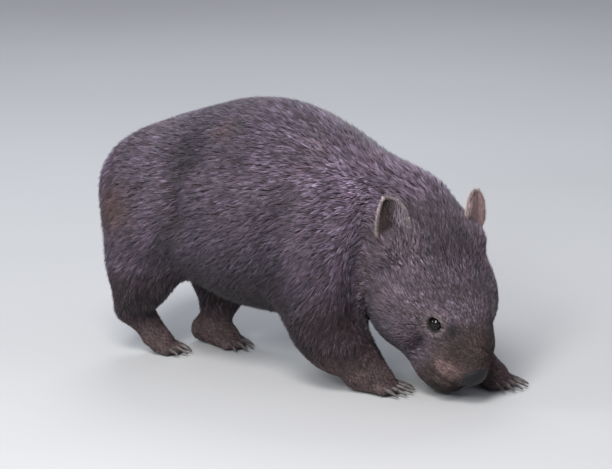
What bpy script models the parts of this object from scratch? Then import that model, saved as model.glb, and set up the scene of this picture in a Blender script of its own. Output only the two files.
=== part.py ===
"""A young common wombat grazing, as a still life-size museum model.

Frame: +X is forward (rump to chest), +Y is the animal's left, +Z is up. The soles lie on z = 0.
All sizes below are in millimetres of the outer shape, coat included, and are turned to metres as the meshes are made.
The form is a set of named masses (ellipsoids and tapered limbs) that run into each other with a given softness.
Each mass is a primitive solid; the joined solids are voxel remeshed and the vertices are then drawn onto the smooth
surface round all of them. The whole is parted by thin cuts into the pieces that a person would name.
"""

import math

import bmesh
import bpy
import numpy as np
from mathutils import Matrix, Vector

MM = 0.001
GAP = 0.3  # mm, the thin cut between neighbours
CENTRE = (2.4, -4.8)  # mm, where the middle of the whole box lies in the working frame below

for old in list(bpy.data.objects):
    bpy.data.objects.remove(old)

# ------------------------------------------------------------------------------------------------ the form
# Head frame: x runs from the ears to the nose, y to the animal's left, z to the crown; its origin lies between the ears.
HEAD_AT = (138.0, 0.0, 142.0)
HEAD_YAW, HEAD_PITCH, HEAD_ROLL = -27.0, 48.0, 0.0  # degrees; it grazes, turned to its right
MIDLINE = -5.0  # the y of the trunk's mirror plane


def turn(yaw=0.0, pitch=0.0, roll=0.0):
    """Rotation matrix: roll about x, then pitch (nose down) about y, then yaw about z, in degrees."""
    y, p, r = (math.radians(a) for a in (yaw, pitch, roll))
    about_z = np.array([[math.cos(y), -math.sin(y), 0], [math.sin(y), math.cos(y), 0], [0, 0, 1]])
    about_y = np.array([[math.cos(p), 0, math.sin(p)], [0, 1, 0], [-math.sin(p), 0, math.cos(p)]])
    about_x = np.array([[1, 0, 0], [0, math.cos(r), -math.sin(r)], [0, math.sin(r), math.cos(r)]])
    return about_z @ about_y @ about_x


HEAD_TURN = turn(HEAD_YAW, HEAD_PITCH, HEAD_ROLL)


def from_head(point):
    return np.array(HEAD_AT) + HEAD_TURN @ np.array(point, float)


def mass(centre, radii, angles=(0, 0, 0), head=False):
    """An ellipsoid: its centre, its three radii, and its yaw, pitch and roll."""
    about = turn(*angles)
    if head:
        centre, about = from_head(centre), HEAD_TURN @ about
    return {"kind": "mass", "at": np.array(centre, float), "r": np.array(radii, float), "turn": about}


def limb(start, end, r_start, r_end, head=False):
    """A tapered limb with round ends."""
    if head:
        start, end = from_head(start), from_head(end)
    return {"kind": "limb", "a": np.array(start, float), "b": np.array(end, float), "ra": r_start, "rb": r_end}


def pair(centre, radii, angles=(0, 0, 0)):
    """The same mass on both sides of the trunk."""
    x, y, z = centre
    yaw, pitch, roll = angles
    return [mass(centre, radii, angles), mass((x, 2 * MIDLINE - y, z), radii, (-yaw, pitch, -roll))]


def head_pair(centre, radii, angles=(0, 0, 0)):
    """The same mass on both sides of the head."""
    x, y, z = centre
    yaw, pitch, roll = angles
    return [mass(centre, radii, angles, True), mass((x, -y, z), radii, (-yaw, pitch, -roll), True)]


def distance(shape, p):
    """About the signed distance in mm from points p to a shape's surface, negative inside."""
    if shape["kind"] == "mass":
        q = (p - shape["at"]) @ shape["turn"]
        k0 = np.linalg.norm(q / shape["r"], axis=1)
        k1 = np.linalg.norm(q / shape["r"] ** 2, axis=1)
        return k0 * (k0 - 1) / np.maximum(k1, 1e-9)
    a, b, ra, rb = shape["a"], shape["b"], shape["ra"], shape["rb"]
    along = b - a
    size = float(along @ along)
    rr = ra - rb
    a2 = size - rr * rr
    pa = p - a
    y = pa @ along
    z = y - size
    x2 = ((pa * size - y[:, None] * along) ** 2).sum(1)
    y2, z2 = y * y * size, z * z * size
    k = np.sign(rr) * rr * rr * x2
    out = (np.sqrt(x2 * a2 / size) + y * rr) / size - ra
    out = np.where(np.sign(y) * a2 * y2 < k, np.sqrt(x2 + y2) / size - ra, out)
    return np.where(np.sign(z) * a2 * z2 > k, np.sqrt(x2 + z2) / size - rb, out)


def soft_union(a, b, k):
    h = np.clip(0.5 + 0.5 * (b - a) / k, 0, 1)
    return b * (1 - h) + a * h - k * h * (1 - h)


def group(shapes, p, k):
    out = distance(shapes[0], p)
    for shape in shapes[1:]:
        out = soft_union(out, distance(shape, p), k)
    return out


TRUNK = [
    mass((-134, -5, 158), (76, 72, 63)),  # rump
    *pair((-134, -38, 162), (70, 45, 62)),  # hips
    mass((-36, -5, 157), (128, 94, 104)),  # loin and belly
    mass((42.5, -4, 135), (82, 80, 84)),  # chest
]
NECK = [mass((97.5, 18, 150.5), (60, 46.5, 55), (0, 18, 0))]  # bent to the right with the head
SKULL = [
    mass((4, 0, -5), (45, 56, 34), head=True),  # cranium
    mass((58, 0, -6), (64, 34, 28), (0, 6, 0), True),  # brow and bridge of the nose
    *head_pair((38, -35, -36), (47, 29, 41)),  # cheeks
    mass((72, 0, -59), (52, 34, 24), head=True),  # lower jaw
]
SNOUT = [
    mass((95, 0, -14), (31, 30, 21), (0, 8, 0), True),  # bridge
    mass((100, 0, -29), (35, 30, 24.5), (0, 8, 0), True),  # muzzle
    mass((126, 0, -24), (13, 15, 13), (0, 8, 0), True),  # nose
    *head_pair((110, -15, -42), (20, 14, 12), (0, 0, 0)),  # upper lips
    mass((102, 0, -61), (24, 25, 16), head=True),  # chin
]
EYE_AT, EYE_R = (81.2, 26.6, -7.2), 7.0  # head frame, the left one
BROWS = head_pair((74, -26, 2.5), (16, 9, 6.5), (8, 4, 0))
# Hollows and swellings of the head: centre, spreads, depth (plus is inward), each on both sides unless y is 0.
RELIEF = [
    ((86, 34, -5), (10, 9, 9), 3.6),  # eye socket
    ((97, 28, -8), (8, 7, 7), 1.6),  # hollow in front of the eye
    ((100, 22, -24), (12, 9, 9), 1.4),  # side of the muzzle
    ((16, 44, 12), (14, 12, 12), 3.0),  # in front of the ear
    ((44, 0, 22), (22, 10, 12), 1.2),  # middle of the forehead
]


def toes(start, yaw, count, spread, width, length, r, height):
    """Where the toes of one foot run: start and end of each, fanned by spread degrees over width."""
    out = []
    for i in range(count):
        t = 2 * i / (count - 1) - 1
        way = math.radians(yaw + t * spread)
        long = length * (1 - 0.22 * t * t)
        ahead, left = np.array([math.cos(way), math.sin(way)]), np.array([-math.sin(math.radians(yaw)), math.cos(math.radians(yaw))])
        a = np.array(start[:2]) + left * t * width / 2 - ahead * 3.0 * t * t
        b = a + ahead * long
        out.append((np.array([*a, height]), np.array([*b, r + 0.2]), way))
    return out


FEET = {
    # name: palm or sole, where its toes start, heading, count, fan, width, length, radius
    "foot_hind_right": dict(sole=[((-169, -43, 43), (-147, -34, 13), 16, 11), ((-152, -36, 16), (-143, -33, 9.5), 12, 10.5)],
                            toes=dict(start=(-144, -32.5), yaw=8, count=4, spread=10, width=19, length=15, r=5.2, height=8)),
    "foot_hind_left": dict(sole=[((-132, 23, 14), (-108, 20, 12), 14.5, 12.5), ((-112, 20, 12), (-101, 18.5, 9.5), 13, 11)],
                           toes=dict(start=(-102, 18), yaw=-8, count=4, spread=10, width=19, length=15, r=5.2, height=8)),
    "paw_front_right": dict(sole=[((86, -42, 14), (104, -39.5, 12), 15.5, 13.5), ((100, -40, 11), (108, -39, 9.5), 13.5, 12)],
                            toes=dict(start=(107, -39), yaw=8, count=5, spread=16, width=24, length=14, r=5.2, height=8)),
    "paw_front_left": dict(sole=[((170, 37, 14), (184, 35, 12), 14.5, 13), ((180, 36, 11), (189, 34.5, 9.5), 13, 11.5)],
                           toes=dict(start=(188, 34.5), yaw=-8, count=5, spread=16, width=24, length=14, r=5.2, height=8)),
}
LEGS = {
    "leg_hind_right": [
        mass((-153, -47, 113), (46, 34, 68), (0, 12, 0)),  # thigh
        limb((-152, -54, 86), (-173, -44, 50), 32, 19),  # shank
    ],
    "leg_hind_left": [
        mass((-124, 43, 104), (50, 34, 68), (0, 6, 0)),
        limb((-120, 40, 74), (-120, 27, 34), 31, 17),
    ],
    "leg_front_right": [
        mass((49, -59, 96), (43, 31, 68), (0, -8, 0)),  # shoulder and upper arm
        limb((46, -57, 77), (67, -49, 46), 29, 27.5),  # elbow
        limb((67, -49, 46), (90, -43, 24), 27.5, 20),  # forearm
    ],
    "leg_front_left": [
        mass((76, 54, 106), (44, 30, 58), (0, -20, 0)),
        limb((88, 60, 76), (124, 56, 48), 29, 23),
        limb((124, 56, 48), (168, 39, 20), 23, 15),
    ],
}
FOOT_OF = {"leg_hind_right": "foot_hind_right", "leg_hind_left": "foot_hind_left", "leg_front_right": "paw_front_right", "leg_front_left": "paw_front_left"}
SOLES = {name: [limb(*s) for s in f["sole"]] for name, f in FEET.items()}
TOES = {name: toes(**f["toes"]) for name, f in FEET.items()}
TOE_LIMBS = {name: [limb(a, b, FEET[name]["toes"]["r"] + 0.8, FEET[name]["toes"]["r"]) for a, b, _ in TOES[name]] for name in FEET}
TAIL = [limb((-196, -5, 112), (-202, -5, 102), 10, 7)]


def foot_form(name, p):
    return soft_union(group(SOLES[name], p, 6), group(TOE_LIMBS[name], p, 1.6), 4)


def head_form(p):
    out = group(SKULL, p, 18)
    out = soft_union(out, group(SNOUT, p, 9), 12)
    out = soft_union(out, group(BROWS, p, 6), 8)
    q = (p - np.array(HEAD_AT)) @ HEAD_TURN
    for centre, spread, depth in RELIEF:
        for side in (1, -1) if centre[1] else (1,):
            d = (q - np.array(centre) * (1, side, 1)) / np.array(spread)
            out = out + depth * np.exp(-0.5 * (d * d).sum(1))
    return out


def whole_form(p):
    trunk = soft_union(group(TRUNK, p, 36), group(NECK, p, 10), 26)
    out = soft_union(trunk, head_form(p), 13)
    for leg, foot in FOOT_OF.items():
        one = soft_union(group(LEGS[leg], p, 14), foot_form(foot, p), 10)
        out = np.minimum(out, soft_union(trunk, one, 22))
    return out


# ------------------------------------------------------------------------------------------------ making
parts = bpy.data.collections.new("wombat")
cutters = bpy.data.collections.new("cutters")
bpy.context.scene.collection.children.link(parts)
bpy.context.scene.collection.children.link(cutters)
cutters.hide_render = True


def as_object(mesh, name, where=parts):
    obj = bpy.data.objects.new(name, mesh)
    where.objects.link(obj)
    if where is cutters:
        obj.display_type = "WIRE"
        obj.hide_render = True
    return obj


def primitives(shapes, name):
    """One object holding a sphere for each mass, and two spheres and a cone for each limb."""
    ready = {}

    def solid(which, **sizes):
        key = (which, tuple(sorted(sizes.items())))
        if key not in ready:
            bm = bmesh.new()
            (bmesh.ops.create_uvsphere if which == "sphere" else bmesh.ops.create_cone)(bm, **sizes)
            bm.verts.index_update()
            ready[key] = ([tuple(v.co) for v in bm.verts], [[v.index for v in f.verts] for f in bm.faces])
            bm.free()
        return ready[key]

    points, faces = [], []

    def add(pts, polys, matrix):
        start = len(points)
        points.extend(matrix @ Vector(p) for p in pts)
        faces.extend([i + start for i in poly] for poly in polys)

    unit = solid("sphere", u_segments=32, v_segments=18, radius=1)
    for s in shapes:
        if s["kind"] == "mass":
            add(*unit, Matrix.Translation(Vector(s["at"]) * MM) @ Matrix(s["turn"].tolist()).to_4x4() @ Matrix.Diagonal((*(s["r"] * MM), 1)))
            continue
        a, b = Vector(s["a"]) * MM, Vector(s["b"]) * MM
        for at, r in ((a, s["ra"]), (b, s["rb"])):
            add(*unit, Matrix.Translation(at) @ Matrix.Diagonal((r * MM, r * MM, r * MM, 1)))
        along = b - a
        cone = solid("cone", cap_ends=True, segments=24, radius1=s["ra"], radius2=s["rb"], depth=along.length / MM)
        add(*cone, Matrix.Translation((a + b) / 2) @ along.to_track_quat("Z", "Y").to_matrix().to_4x4() @ Matrix.Diagonal((MM, MM, MM, 1)))
    mesh = bpy.data.meshes.new(name)
    mesh.from_pydata(points, [], faces)
    mesh.update()
    return as_object(mesh, name, cutters)


def evaluated(obj, name):
    """A new mesh with the object's modifiers applied."""
    graph = bpy.context.evaluated_depsgraph_get()
    graph.update()
    mesh = bpy.data.meshes.new_from_object(obj.evaluated_get(graph))
    mesh.name = name
    return mesh


def applied(obj):
    """The object with its modifiers applied."""
    mesh = evaluated(obj, obj.name)
    obj.modifiers.clear()
    obj.data = mesh
    return obj


def points_of(mesh):
    co = np.empty(len(mesh.vertices) * 3)
    mesh.vertices.foreach_get("co", co)
    return co.reshape(-1, 3) / MM


def set_points(mesh, p):
    mesh.vertices.foreach_set("co", (p * MM).astype(np.float32).ravel())
    mesh.update()


def slope(form, p, step=0.4):
    return np.stack([form(p + np.eye(3)[i] * step) - form(p - np.eye(3)[i] * step) for i in range(3)], 1) / (2 * step)


def drawn_onto(p, form, rounds=4, most=5.0, deepest=-1e9):
    """Moves points onto the surface where form is 0; points deeper in it than the deepest stay."""
    near = np.flatnonzero(form(p) > deepest)
    q = p[near]
    for _ in range(rounds):
        f, g = form(q), slope(form, q)
        q = q - (np.clip(f, -most, most) / np.maximum((g * g).sum(1), 0.1))[:, None] * g
    p = p.copy()
    p[near] = q
    return p


def soft_body(shapes, form, name, voxel, triangles, keep=None, grow=0.0):
    """The primitives, voxel remeshed, the vertices drawn onto the smooth surface, and reduced to so many triangles."""
    raw = primitives(shapes, name)
    remesh = raw.modifiers.new("remesh", "REMESH")
    remesh.mode = "VOXEL"
    remesh.voxel_size = voxel * MM
    smooth = raw.modifiers.new("smooth", "SMOOTH")
    smooth.factor, smooth.iterations = 0.5, 4
    obj = applied(raw)
    if keep is not None:
        cut_with(obj, box(*keep, name=name + "_keep"), "INTERSECT")
    target = (lambda p: form(p) - grow) if grow else form
    deepest = -1e9 if keep is None else -12.0
    set_points(obj.data, drawn_onto(points_of(obj.data), target, deepest=deepest))
    relax = obj.modifiers.new("relax", "SMOOTH")
    relax.factor, relax.iterations = 0.5, 2
    applied(obj)
    set_points(obj.data, drawn_onto(points_of(obj.data), target, 1, deepest=deepest))
    reduce = obj.modifiers.new("reduce", "DECIMATE")
    faces = sum(len(q.vertices) - 2 for q in obj.data.polygons)
    reduce.ratio = min(1.0, triangles / faces)
    return applied(obj)


def box(lo, hi, frame=None, name="box"):
    """A box between two corners, in the model's frame or in the one of a 4 x 4 matrix."""
    lo, hi = Vector(lo) * MM, Vector(hi) * MM
    bm = bmesh.new()
    m = Matrix.Translation((lo + hi) / 2) @ Matrix.Diagonal((*(hi - lo), 1))
    bmesh.ops.create_cube(bm, size=1, matrix=(frame or Matrix()) @ m)
    mesh = bpy.data.meshes.new(name)
    bm.to_mesh(mesh)
    bm.free()
    return as_object(mesh, name, cutters)


def facing(point, normal, name, size=500, shift=0.0):
    """A box that fills the side of a plane the normal points to, its face shifted along the normal."""
    n = Vector(normal).normalized()
    frame = Matrix.Translation((Vector(point) + n * shift) * MM) @ n.to_track_quat("Z", "Y").to_matrix().to_4x4()
    return box((-size, -size, 0), (size, size, size), frame, name)


def prism(section, x0, x1, name, grow=0.0, lean=0.0):
    """A prism along x with a section in y and z; grow moves every face outward; lean slides its ends forward as z falls."""
    ys, zs = np.array(section, float).T
    area = 0.5 * float(np.sum(ys * np.roll(zs, -1) - np.roll(ys, -1) * zs))
    turnwise = 1 if area > 0 else -1
    pts = []
    n = len(section)
    for i in range(n):
        p0, p1, p2 = (np.array(section[(i + k) % n], float) for k in (-1, 0, 1))
        e0, e1 = (p1 - p0) / np.linalg.norm(p1 - p0), (p2 - p1) / np.linalg.norm(p2 - p1)
        n0, n1 = turnwise * np.array([e0[1], -e0[0]]), turnwise * np.array([e1[1], -e1[0]])
        mid = n0 + n1
        pts.append(p1 + mid * grow / max(1e-6, float(mid @ n0)))
    bm = bmesh.new()
    rings = []
    for x, g in ((x0, -grow), (x1, grow)):
        rings.append([bm.verts.new(Vector((x + g + lean * (60 - z), y, z)) * MM) for y, z in pts])
    bm.faces.new(rings[0])
    bm.faces.new(list(reversed(rings[1])))
    for i in range(n):
        j = (i + 1) % n
        bm.faces.new((rings[0][j], rings[0][i], rings[1][i], rings[1][j]))
    bmesh.ops.recalc_face_normals(bm, faces=bm.faces)
    mesh = bpy.data.meshes.new(name)
    bm.to_mesh(mesh)
    bm.free()
    return as_object(mesh, name, cutters)


def closed(mesh):
    bm = bmesh.new()
    bm.from_mesh(mesh)
    good = len(bm.faces) > 5 and all(e.is_manifold for e in bm.edges)
    bm.free()
    return good


def cut_with(obj, cutter, how="DIFFERENCE", drop=True):
    before = obj.data.copy()
    for careful in (False, True):
        cut = obj.modifiers.new("cut", "BOOLEAN")
        cut.operation, cut.solver, cut.object, cut.use_self = how, "EXACT", cutter, careful
        applied(obj)
        if careful or closed(obj.data):
            break
        obj.data = before.copy()
    if drop:
        bpy.data.objects.remove(cutter)
    return obj


def copy_of(obj, name, where=cutters):
    mesh = obj.data.copy()
    mesh.name = name
    return as_object(mesh, name, where)


def grown(obj, by, name):
    """A copy whose faces are moved outward."""
    out = copy_of(obj, name)
    push = out.modifiers.new("push", "DISPLACE")
    push.strength, push.mid_level, push.direction = by * MM, 0.0, "NORMAL"
    return applied(out)


def ball(centre, radii, name, frame=None, segments=14, rings=9):
    bm = bmesh.new()
    m = Matrix.Translation(Vector(centre) * MM) @ Matrix.Diagonal((*(Vector(radii) * MM), 1))
    bmesh.ops.create_uvsphere(bm, u_segments=segments, v_segments=rings, radius=1, matrix=(frame or Matrix()) @ m)
    mesh = bpy.data.meshes.new(name)
    bm.to_mesh(mesh)
    bm.free()
    return as_object(mesh, name, cutters)


def loft(rings, name):
    """A closed body through rings of as many points each, the ends closed with fans."""
    bm = bmesh.new()
    rows = [[bm.verts.new(Vector(p) * MM) for p in ring] for ring in rings]
    n = len(rows[0])
    for a, b in zip(rows, rows[1:]):
        for i in range(n):
            bm.faces.new((a[i], a[(i + 1) % n], b[(i + 1) % n], b[i]))
    for row in (rows[0], rows[-1]):
        middle = bm.verts.new(sum((v.co for v in row), Vector()) / n)
        for i in range(n):
            bm.faces.new((row[i], row[(i + 1) % n], middle))
    bmesh.ops.recalc_face_normals(bm, faces=bm.faces)
    mesh = bpy.data.meshes.new(name)
    bm.to_mesh(mesh)
    bm.free()
    return as_object(mesh, name, cutters)


def largest(obj):
    """Keeps the largest closed shell."""
    bm = bmesh.new()
    bm.from_mesh(obj.data)
    bmesh.ops.remove_doubles(bm, verts=bm.verts, dist=1e-5)
    left, shells = set(bm.faces), []
    while left:
        todo, shell = [left.pop()], []
        while todo:
            f = todo.pop()
            shell.append(f)
            for e in f.edges:
                for g in e.link_faces:
                    if g in left:
                        left.remove(g)
                        todo.append(g)
        shells.append(shell)
    shells.sort(key=lambda fs: -sum(f.calc_area() for f in fs))
    if len(shells) > 1:
        bmesh.ops.delete(bm, geom=[f for fs in shells[1:] for f in fs], context="FACES")
    bmesh.ops.triangulate(bm, faces=bm.faces)
    bmesh.ops.dissolve_degenerate(bm, dist=5e-6, edges=bm.edges)
    bmesh.ops.triangulate(bm, faces=bm.faces)
    bm.to_mesh(obj.data)
    bm.free()
    return obj


def named(obj, name, material):
    largest(obj)
    obj.name = name
    obj.data.name = name
    obj.data.materials.clear()
    obj.data.materials.append(material)
    obj.data.shade_smooth()
    obj.data.set_sharp_from_angle(angle=math.radians(40))
    obj.display_type = "TEXTURED"
    obj.hide_render = False
    for c in list(obj.users_collection):
        c.objects.unlink(obj)
    parts.objects.link(obj)
    return obj


def paint(name, colour, roughness, metallic=0.0):
    m = bpy.data.materials.new(name)
    m.use_nodes = True
    shader = m.node_tree.nodes["Principled BSDF"]
    shader.inputs["Base Color"].default_value = (*colour, 1)
    shader.inputs["Roughness"].default_value = roughness
    shader.inputs["Metallic"].default_value = metallic
    m.diffuse_color = (*colour, 1)
    return m


FUR = dict(trunk=(0.085, 0.07, 0.066), neck=(0.085, 0.07, 0.066), head=(0.1, 0.078, 0.07), tail=(0.11, 0.075, 0.055))
HEAD_FRAME = Matrix.Translation(Vector(HEAD_AT) * MM) @ Matrix(HEAD_TURN.tolist()).to_4x4()

# The cut planes. A leg is parted from the trunk by a prism along x whose section (y, z) slopes up and out over the hip
# or the shoulder; the head and the neck are parted by planes behind the ears and before the shoulders.
LEG_CUTS = {
    "leg_hind_right": ([(-13, -30), (-13, 66), (-60, 96), (-160, 120), (-160, -30)], -260, -101, 0.0),
    "leg_hind_left": ([(3, -30), (3, 66), (50, 96), (150, 120), (150, -30)], -260, -74, 0.0),
    "leg_front_right": ([(-10, -30), (-10, 66), (-50, 90), (-160, 108), (-160, -30)], 2, 92, 0.45),
    "leg_front_left": ([(12, -30), (12, 66), (40, 90), (150, 108), (150, -30)], 34, 124, 0.55),
}
NAPE = (128.0, 0.0, 186.0)
HEAD_CUT = (0.95, -0.12, -0.28)
NECK_CUT_AT, NECK_CUT = (84.0, 0.0, 190.0), (0.97, -0.12, -0.2)
PAW_CUTS = {
    "leg_hind_right": ((-160, -40, 33), (-0.45, 0.0, 0.9)),
    "leg_hind_left": ((-120, 23, 27), (-0.12, 0.0, 1.0)),
    "leg_front_right": ((92, -42, 27), (-0.35, 0.0, 0.94)),
    "leg_front_left": ((170, 38, 26), (-0.5, 0.0, 0.87)),
}
REGION = {
    "leg_hind_right": ((-215, -85, -6), (-95, 5, 75)),
    "leg_hind_left": ((-170, -12, -6), (-60, 65, 62)),
    "leg_front_right": ((40, -85, -6), (150, -5, 62)),
    "leg_front_left": ((130, 5, -6), (235, 75, 62)),
}

every = TRUNK + NECK + SKULL + SNOUT + BROWS + [s for name in LEGS for s in LEGS[name]] + [s for name in FEET for s in SOLES[name] + TOE_LIMBS[name]]
body = soft_body(every, whole_form, "body", 5.0, 3400)

pieces = {}
# Legs and trunk.
trunk = copy_of(body, "trunk_cut")
for leg, (section, x0, x1, lean) in LEG_CUTS.items():
    piece = copy_of(body, leg + "_cut")
    cut_with(piece, prism(section, x0, x1, leg + "_inner", -GAP / 2, lean), "INTERSECT")
    at, up = PAW_CUTS[leg]
    cut_with(piece, facing(at, up, leg + "_wrist", shift=GAP / 2), "INTERSECT")
    pieces[leg] = piece
    cut_with(trunk, prism(section, x0, x1, leg + "_outer", GAP / 2, lean))
neck = copy_of(trunk, "neck_cut")
cut_with(trunk, facing(NECK_CUT_AT, NECK_CUT, "neck_plane", shift=-GAP / 2))
cut_with(neck, facing(NECK_CUT_AT, NECK_CUT, "neck_plane", shift=GAP / 2), "INTERSECT")
cut_with(neck, facing(NAPE, HEAD_CUT, "head_plane", shift=-GAP / 2))
bpy.data.objects.remove(body)

# The head, finer than the body.
head = soft_body(TRUNK[-1:] + NECK + SKULL + SNOUT + BROWS, lambda p: soft_union(soft_union(group(TRUNK, p, 36), group(NECK, p, 10), 26), head_form(p), 13),
                 "head_fine", 3.0, 1800, keep=((70, -130, -10), (260, 130, 260)))
cut_with(head, facing(NAPE, HEAD_CUT, "head_plane", shift=GAP / 2), "INTERSECT")
for leg in ("leg_front_right", "leg_front_left"):
    section, x0, x1, lean = LEG_CUTS[leg]
    cut_with(head, prism(section, x0, x1, leg + "_outer", GAP / 2, lean))

pieces.update(trunk=trunk, neck=neck, head=head)
for name, piece in pieces.items():
    colour = FUR.get(name, (0.075, 0.06, 0.056))
    named(piece, name, paint(name, colour, 0.9))

# Paws and feet, finer still, cut flat where they stand.
for leg, foot in FOOT_OF.items():
    fine = soft_body(LEGS[leg] + SOLES[foot] + TOE_LIMBS[foot], lambda p, l=leg, f=foot: soft_union(group(LEGS[l], p, 14), foot_form(f, p), 10),
                     foot + "_fine", 1.7, 470, keep=REGION[leg])
    at, up = PAW_CUTS[leg]
    cut_with(fine, facing(at, up, leg + "_wrist", shift=-GAP / 2))
    cut_with(fine, facing((0, 0, 0), (0, 0, 1), "floor"), "INTERSECT")
    named(fine, foot, paint(foot, (0.13, 0.085, 0.07), 0.8))
    pieces[foot] = fine

# ------------------------------------------------------------------------------------------------ the small pieces
# Ears: cupped, three-cornered shells. The inner edge is fuller than the outer one.
EAR_UP, EAR_FACE = (-0.85, 0.105, 0.526), (0.531, 0.308, 0.797)  # head frame, the left one
EAR_AT = {1: (2.0, 44.0, 8.0), -1: (2.0, 49.0, 9.0)}  # the left and the right root; each ear is held in its own way
EAR_LONG, EAR_OUTER, EAR_INNER, EAR_CUP, EAR_THICK = 43.0, 15.0, 19.0, 8.0, 2.6


def ear_point(u, v, side):
    """A point of the ear's middle surface, in mm of the head frame: u runs from root to tip, v from outer to inner edge."""
    up = np.array(EAR_UP) / np.linalg.norm(EAR_UP)
    face = np.array(EAR_FACE) - up * (np.array(EAR_FACE) @ up)
    face /= np.linalg.norm(face)
    inward = np.cross(face, up)
    h = min(max(u, 0.0), 1.0)
    outer = EAR_OUTER * (1 - h**1.6) ** 0.8
    inner = EAR_INNER * (1 - h**3.6) ** 0.6
    root = 1.0 - 0.35 * max(0.0, 0.3 - u) / 0.3
    across = (inner if v > 0 else outer) * v * root
    cup = EAR_CUP * (v * v - 0.6) * (1 - 0.45 * h) - 3.0 * (1 - h) ** 2
    at = np.array(EAR_AT[side]) + up * EAR_LONG * u + inward * across + face * cup
    return at * (1, side, 1)


def ear(side, name):
    across, along = 7, 7
    bm = bmesh.new()
    bmesh.ops.create_grid(bm, x_segments=across, y_segments=along, size=1)
    for vert in bm.verts:
        v, t = vert.co.x, (vert.co.y + 1) / 2
        u = -0.24 + 1.24 * (1 - (1 - t) ** 1.35)
        u = min(u, 0.997)
        vert.co = Vector(from_head(ear_point(u, v, side))) * MM
    mesh = bpy.data.meshes.new(name)
    bm.to_mesh(mesh)
    bm.free()
    obj = as_object(mesh, name, cutters)
    shell = obj.modifiers.new("shell", "SOLIDIFY")
    shell.thickness, shell.offset, shell.use_even_offset = EAR_THICK * MM, 0.0, False
    return applied(obj)


def outward(obj):
    bm = bmesh.new()
    bm.from_mesh(obj.data)
    bmesh.ops.remove_doubles(bm, verts=bm.verts, dist=1e-6)
    bmesh.ops.recalc_face_normals(bm, faces=bm.faces)
    bm.to_mesh(obj.data)
    bm.free()
    return obj


# Nose: the bare pad, cut out of the muzzle's end.
NOSE_AT, NOSE_R = (137.0, 0.0, -21.0), (11.0, 13.5, 9.5)
nose = copy_of(head, "nose_cut")
cut_with(nose, ball(NOSE_AT, np.array(NOSE_R) - GAP / 2, "pad", HEAD_FRAME), "INTERSECT")
cut_with(head, ball(NOSE_AT, np.array(NOSE_R) + GAP / 2, "pad", HEAD_FRAME))
named(nose, "nose", paint("nose", (0.03, 0.028, 0.03), 0.55))

head_outer = grown(head, GAP, "head_outer")
eye_black = paint("eye", (0.006, 0.005, 0.005), 0.08)
for side, word in ((-1, "right"), (1, "left")):
    shell = outward(ear(side, "ear_" + word))
    cut_with(shell, head_outer, drop=False)
    cut_with(shell, grown(neck, GAP, "neck_outer"))
    named(shell, "ear_" + word, paint("ear_" + word, (0.14, 0.1, 0.09), 0.85))
    centre = np.array(EYE_AT) * (1, side, 1)
    cut_with(head, ball(centre, (EYE_R + GAP,) * 3, "socket", HEAD_FRAME))
    named(ball(centre, (EYE_R,) * 3, "eye_" + word, HEAD_FRAME, 14, 9), "eye_" + word, eye_black)
bpy.data.objects.remove(head_outer)
named(head, "head", head.data.materials[0])

tail = soft_body(TAIL, lambda p: group(TAIL, p, 4), "tail", 2.0, 110)
cut_with(tail, grown(trunk, GAP, "trunk_outer"))
named(tail, "tail", paint("tail", FUR["tail"], 0.9))

# Claws: long and blunt, 5 on a forepaw and 4 on a hind foot.
CLAW_LONG = {"paw": 13.0, "foot": 9.5}
horn = paint("claw", (0.16, 0.14, 0.135), 0.45)
for foot in FEET:
    around = grown(pieces[foot], GAP, foot + "_outer")
    long = CLAW_LONG[foot.split("_")[0]]
    r = FEET[foot]["toes"]["r"]
    for number, (a, b, way) in enumerate(TOES[foot]):
        ahead, side = np.array([math.cos(way), math.sin(way), 0]), np.array([-math.sin(way), math.cos(way), 0])
        rings = []
        for step in range(4):
            t = step / 3
            drop = 0.0 * t - 1.2 * t - 3.4 * t * t
            middle = b + ahead * (r - 5.0 + (long + 4.0) * t) + np.array([0, 0, 2.3 + drop])
            thick = 2.5 * (1 - 0.66 * t**1.6)
            lean = math.atan2(1.2 + 6.8 * t, long + 4)
            up = np.array([0, 0, 1]) * math.cos(lean) + ahead * math.sin(lean)
            rings.append([middle + thick * (0.8 * math.cos(w) * side + math.sin(w) * up) for w in (2 * math.pi * k / 5 for k in range(5))])
        claw = loft(rings, "claw")
        cut_with(claw, around, drop=False)
        named(claw, "claw_%s_%d" % (foot.replace("paw_", "").replace("foot_", ""), number + 1), horn)
    bpy.data.objects.remove(around)

for obj in parts.objects:
    bm = bmesh.new()
    bm.from_mesh(obj.data)
    bmesh.ops.translate(bm, verts=bm.verts, vec=(-CENTRE[0] * MM, -CENTRE[1] * MM, 0))
    bm.to_mesh(obj.data)
    bm.free()
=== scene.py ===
"""A young wombat grazing, in its coat: one skin under a coat of solid tufts, with eyes, nose and claws of their own."""

import math

import bmesh
import bpy
import numpy as np
from mathutils import Matrix, Vector


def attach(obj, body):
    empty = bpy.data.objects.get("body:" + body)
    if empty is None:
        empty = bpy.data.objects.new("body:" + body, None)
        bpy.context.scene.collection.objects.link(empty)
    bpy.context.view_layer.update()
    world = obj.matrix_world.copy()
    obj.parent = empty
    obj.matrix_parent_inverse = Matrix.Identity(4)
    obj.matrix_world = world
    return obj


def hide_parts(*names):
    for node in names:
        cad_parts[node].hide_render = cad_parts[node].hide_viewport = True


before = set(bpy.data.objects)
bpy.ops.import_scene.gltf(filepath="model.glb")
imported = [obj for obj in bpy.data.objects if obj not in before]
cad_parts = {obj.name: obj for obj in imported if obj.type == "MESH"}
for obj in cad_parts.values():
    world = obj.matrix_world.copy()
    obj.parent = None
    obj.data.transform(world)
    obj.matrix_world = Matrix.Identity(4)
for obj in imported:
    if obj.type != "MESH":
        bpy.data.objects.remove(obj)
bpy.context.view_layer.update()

MM = 0.001
CENTRE = (2.4, -4.8)  # mm, where the middle of the model's box lies in the working frame below
rng = np.random.default_rng(41)


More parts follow.
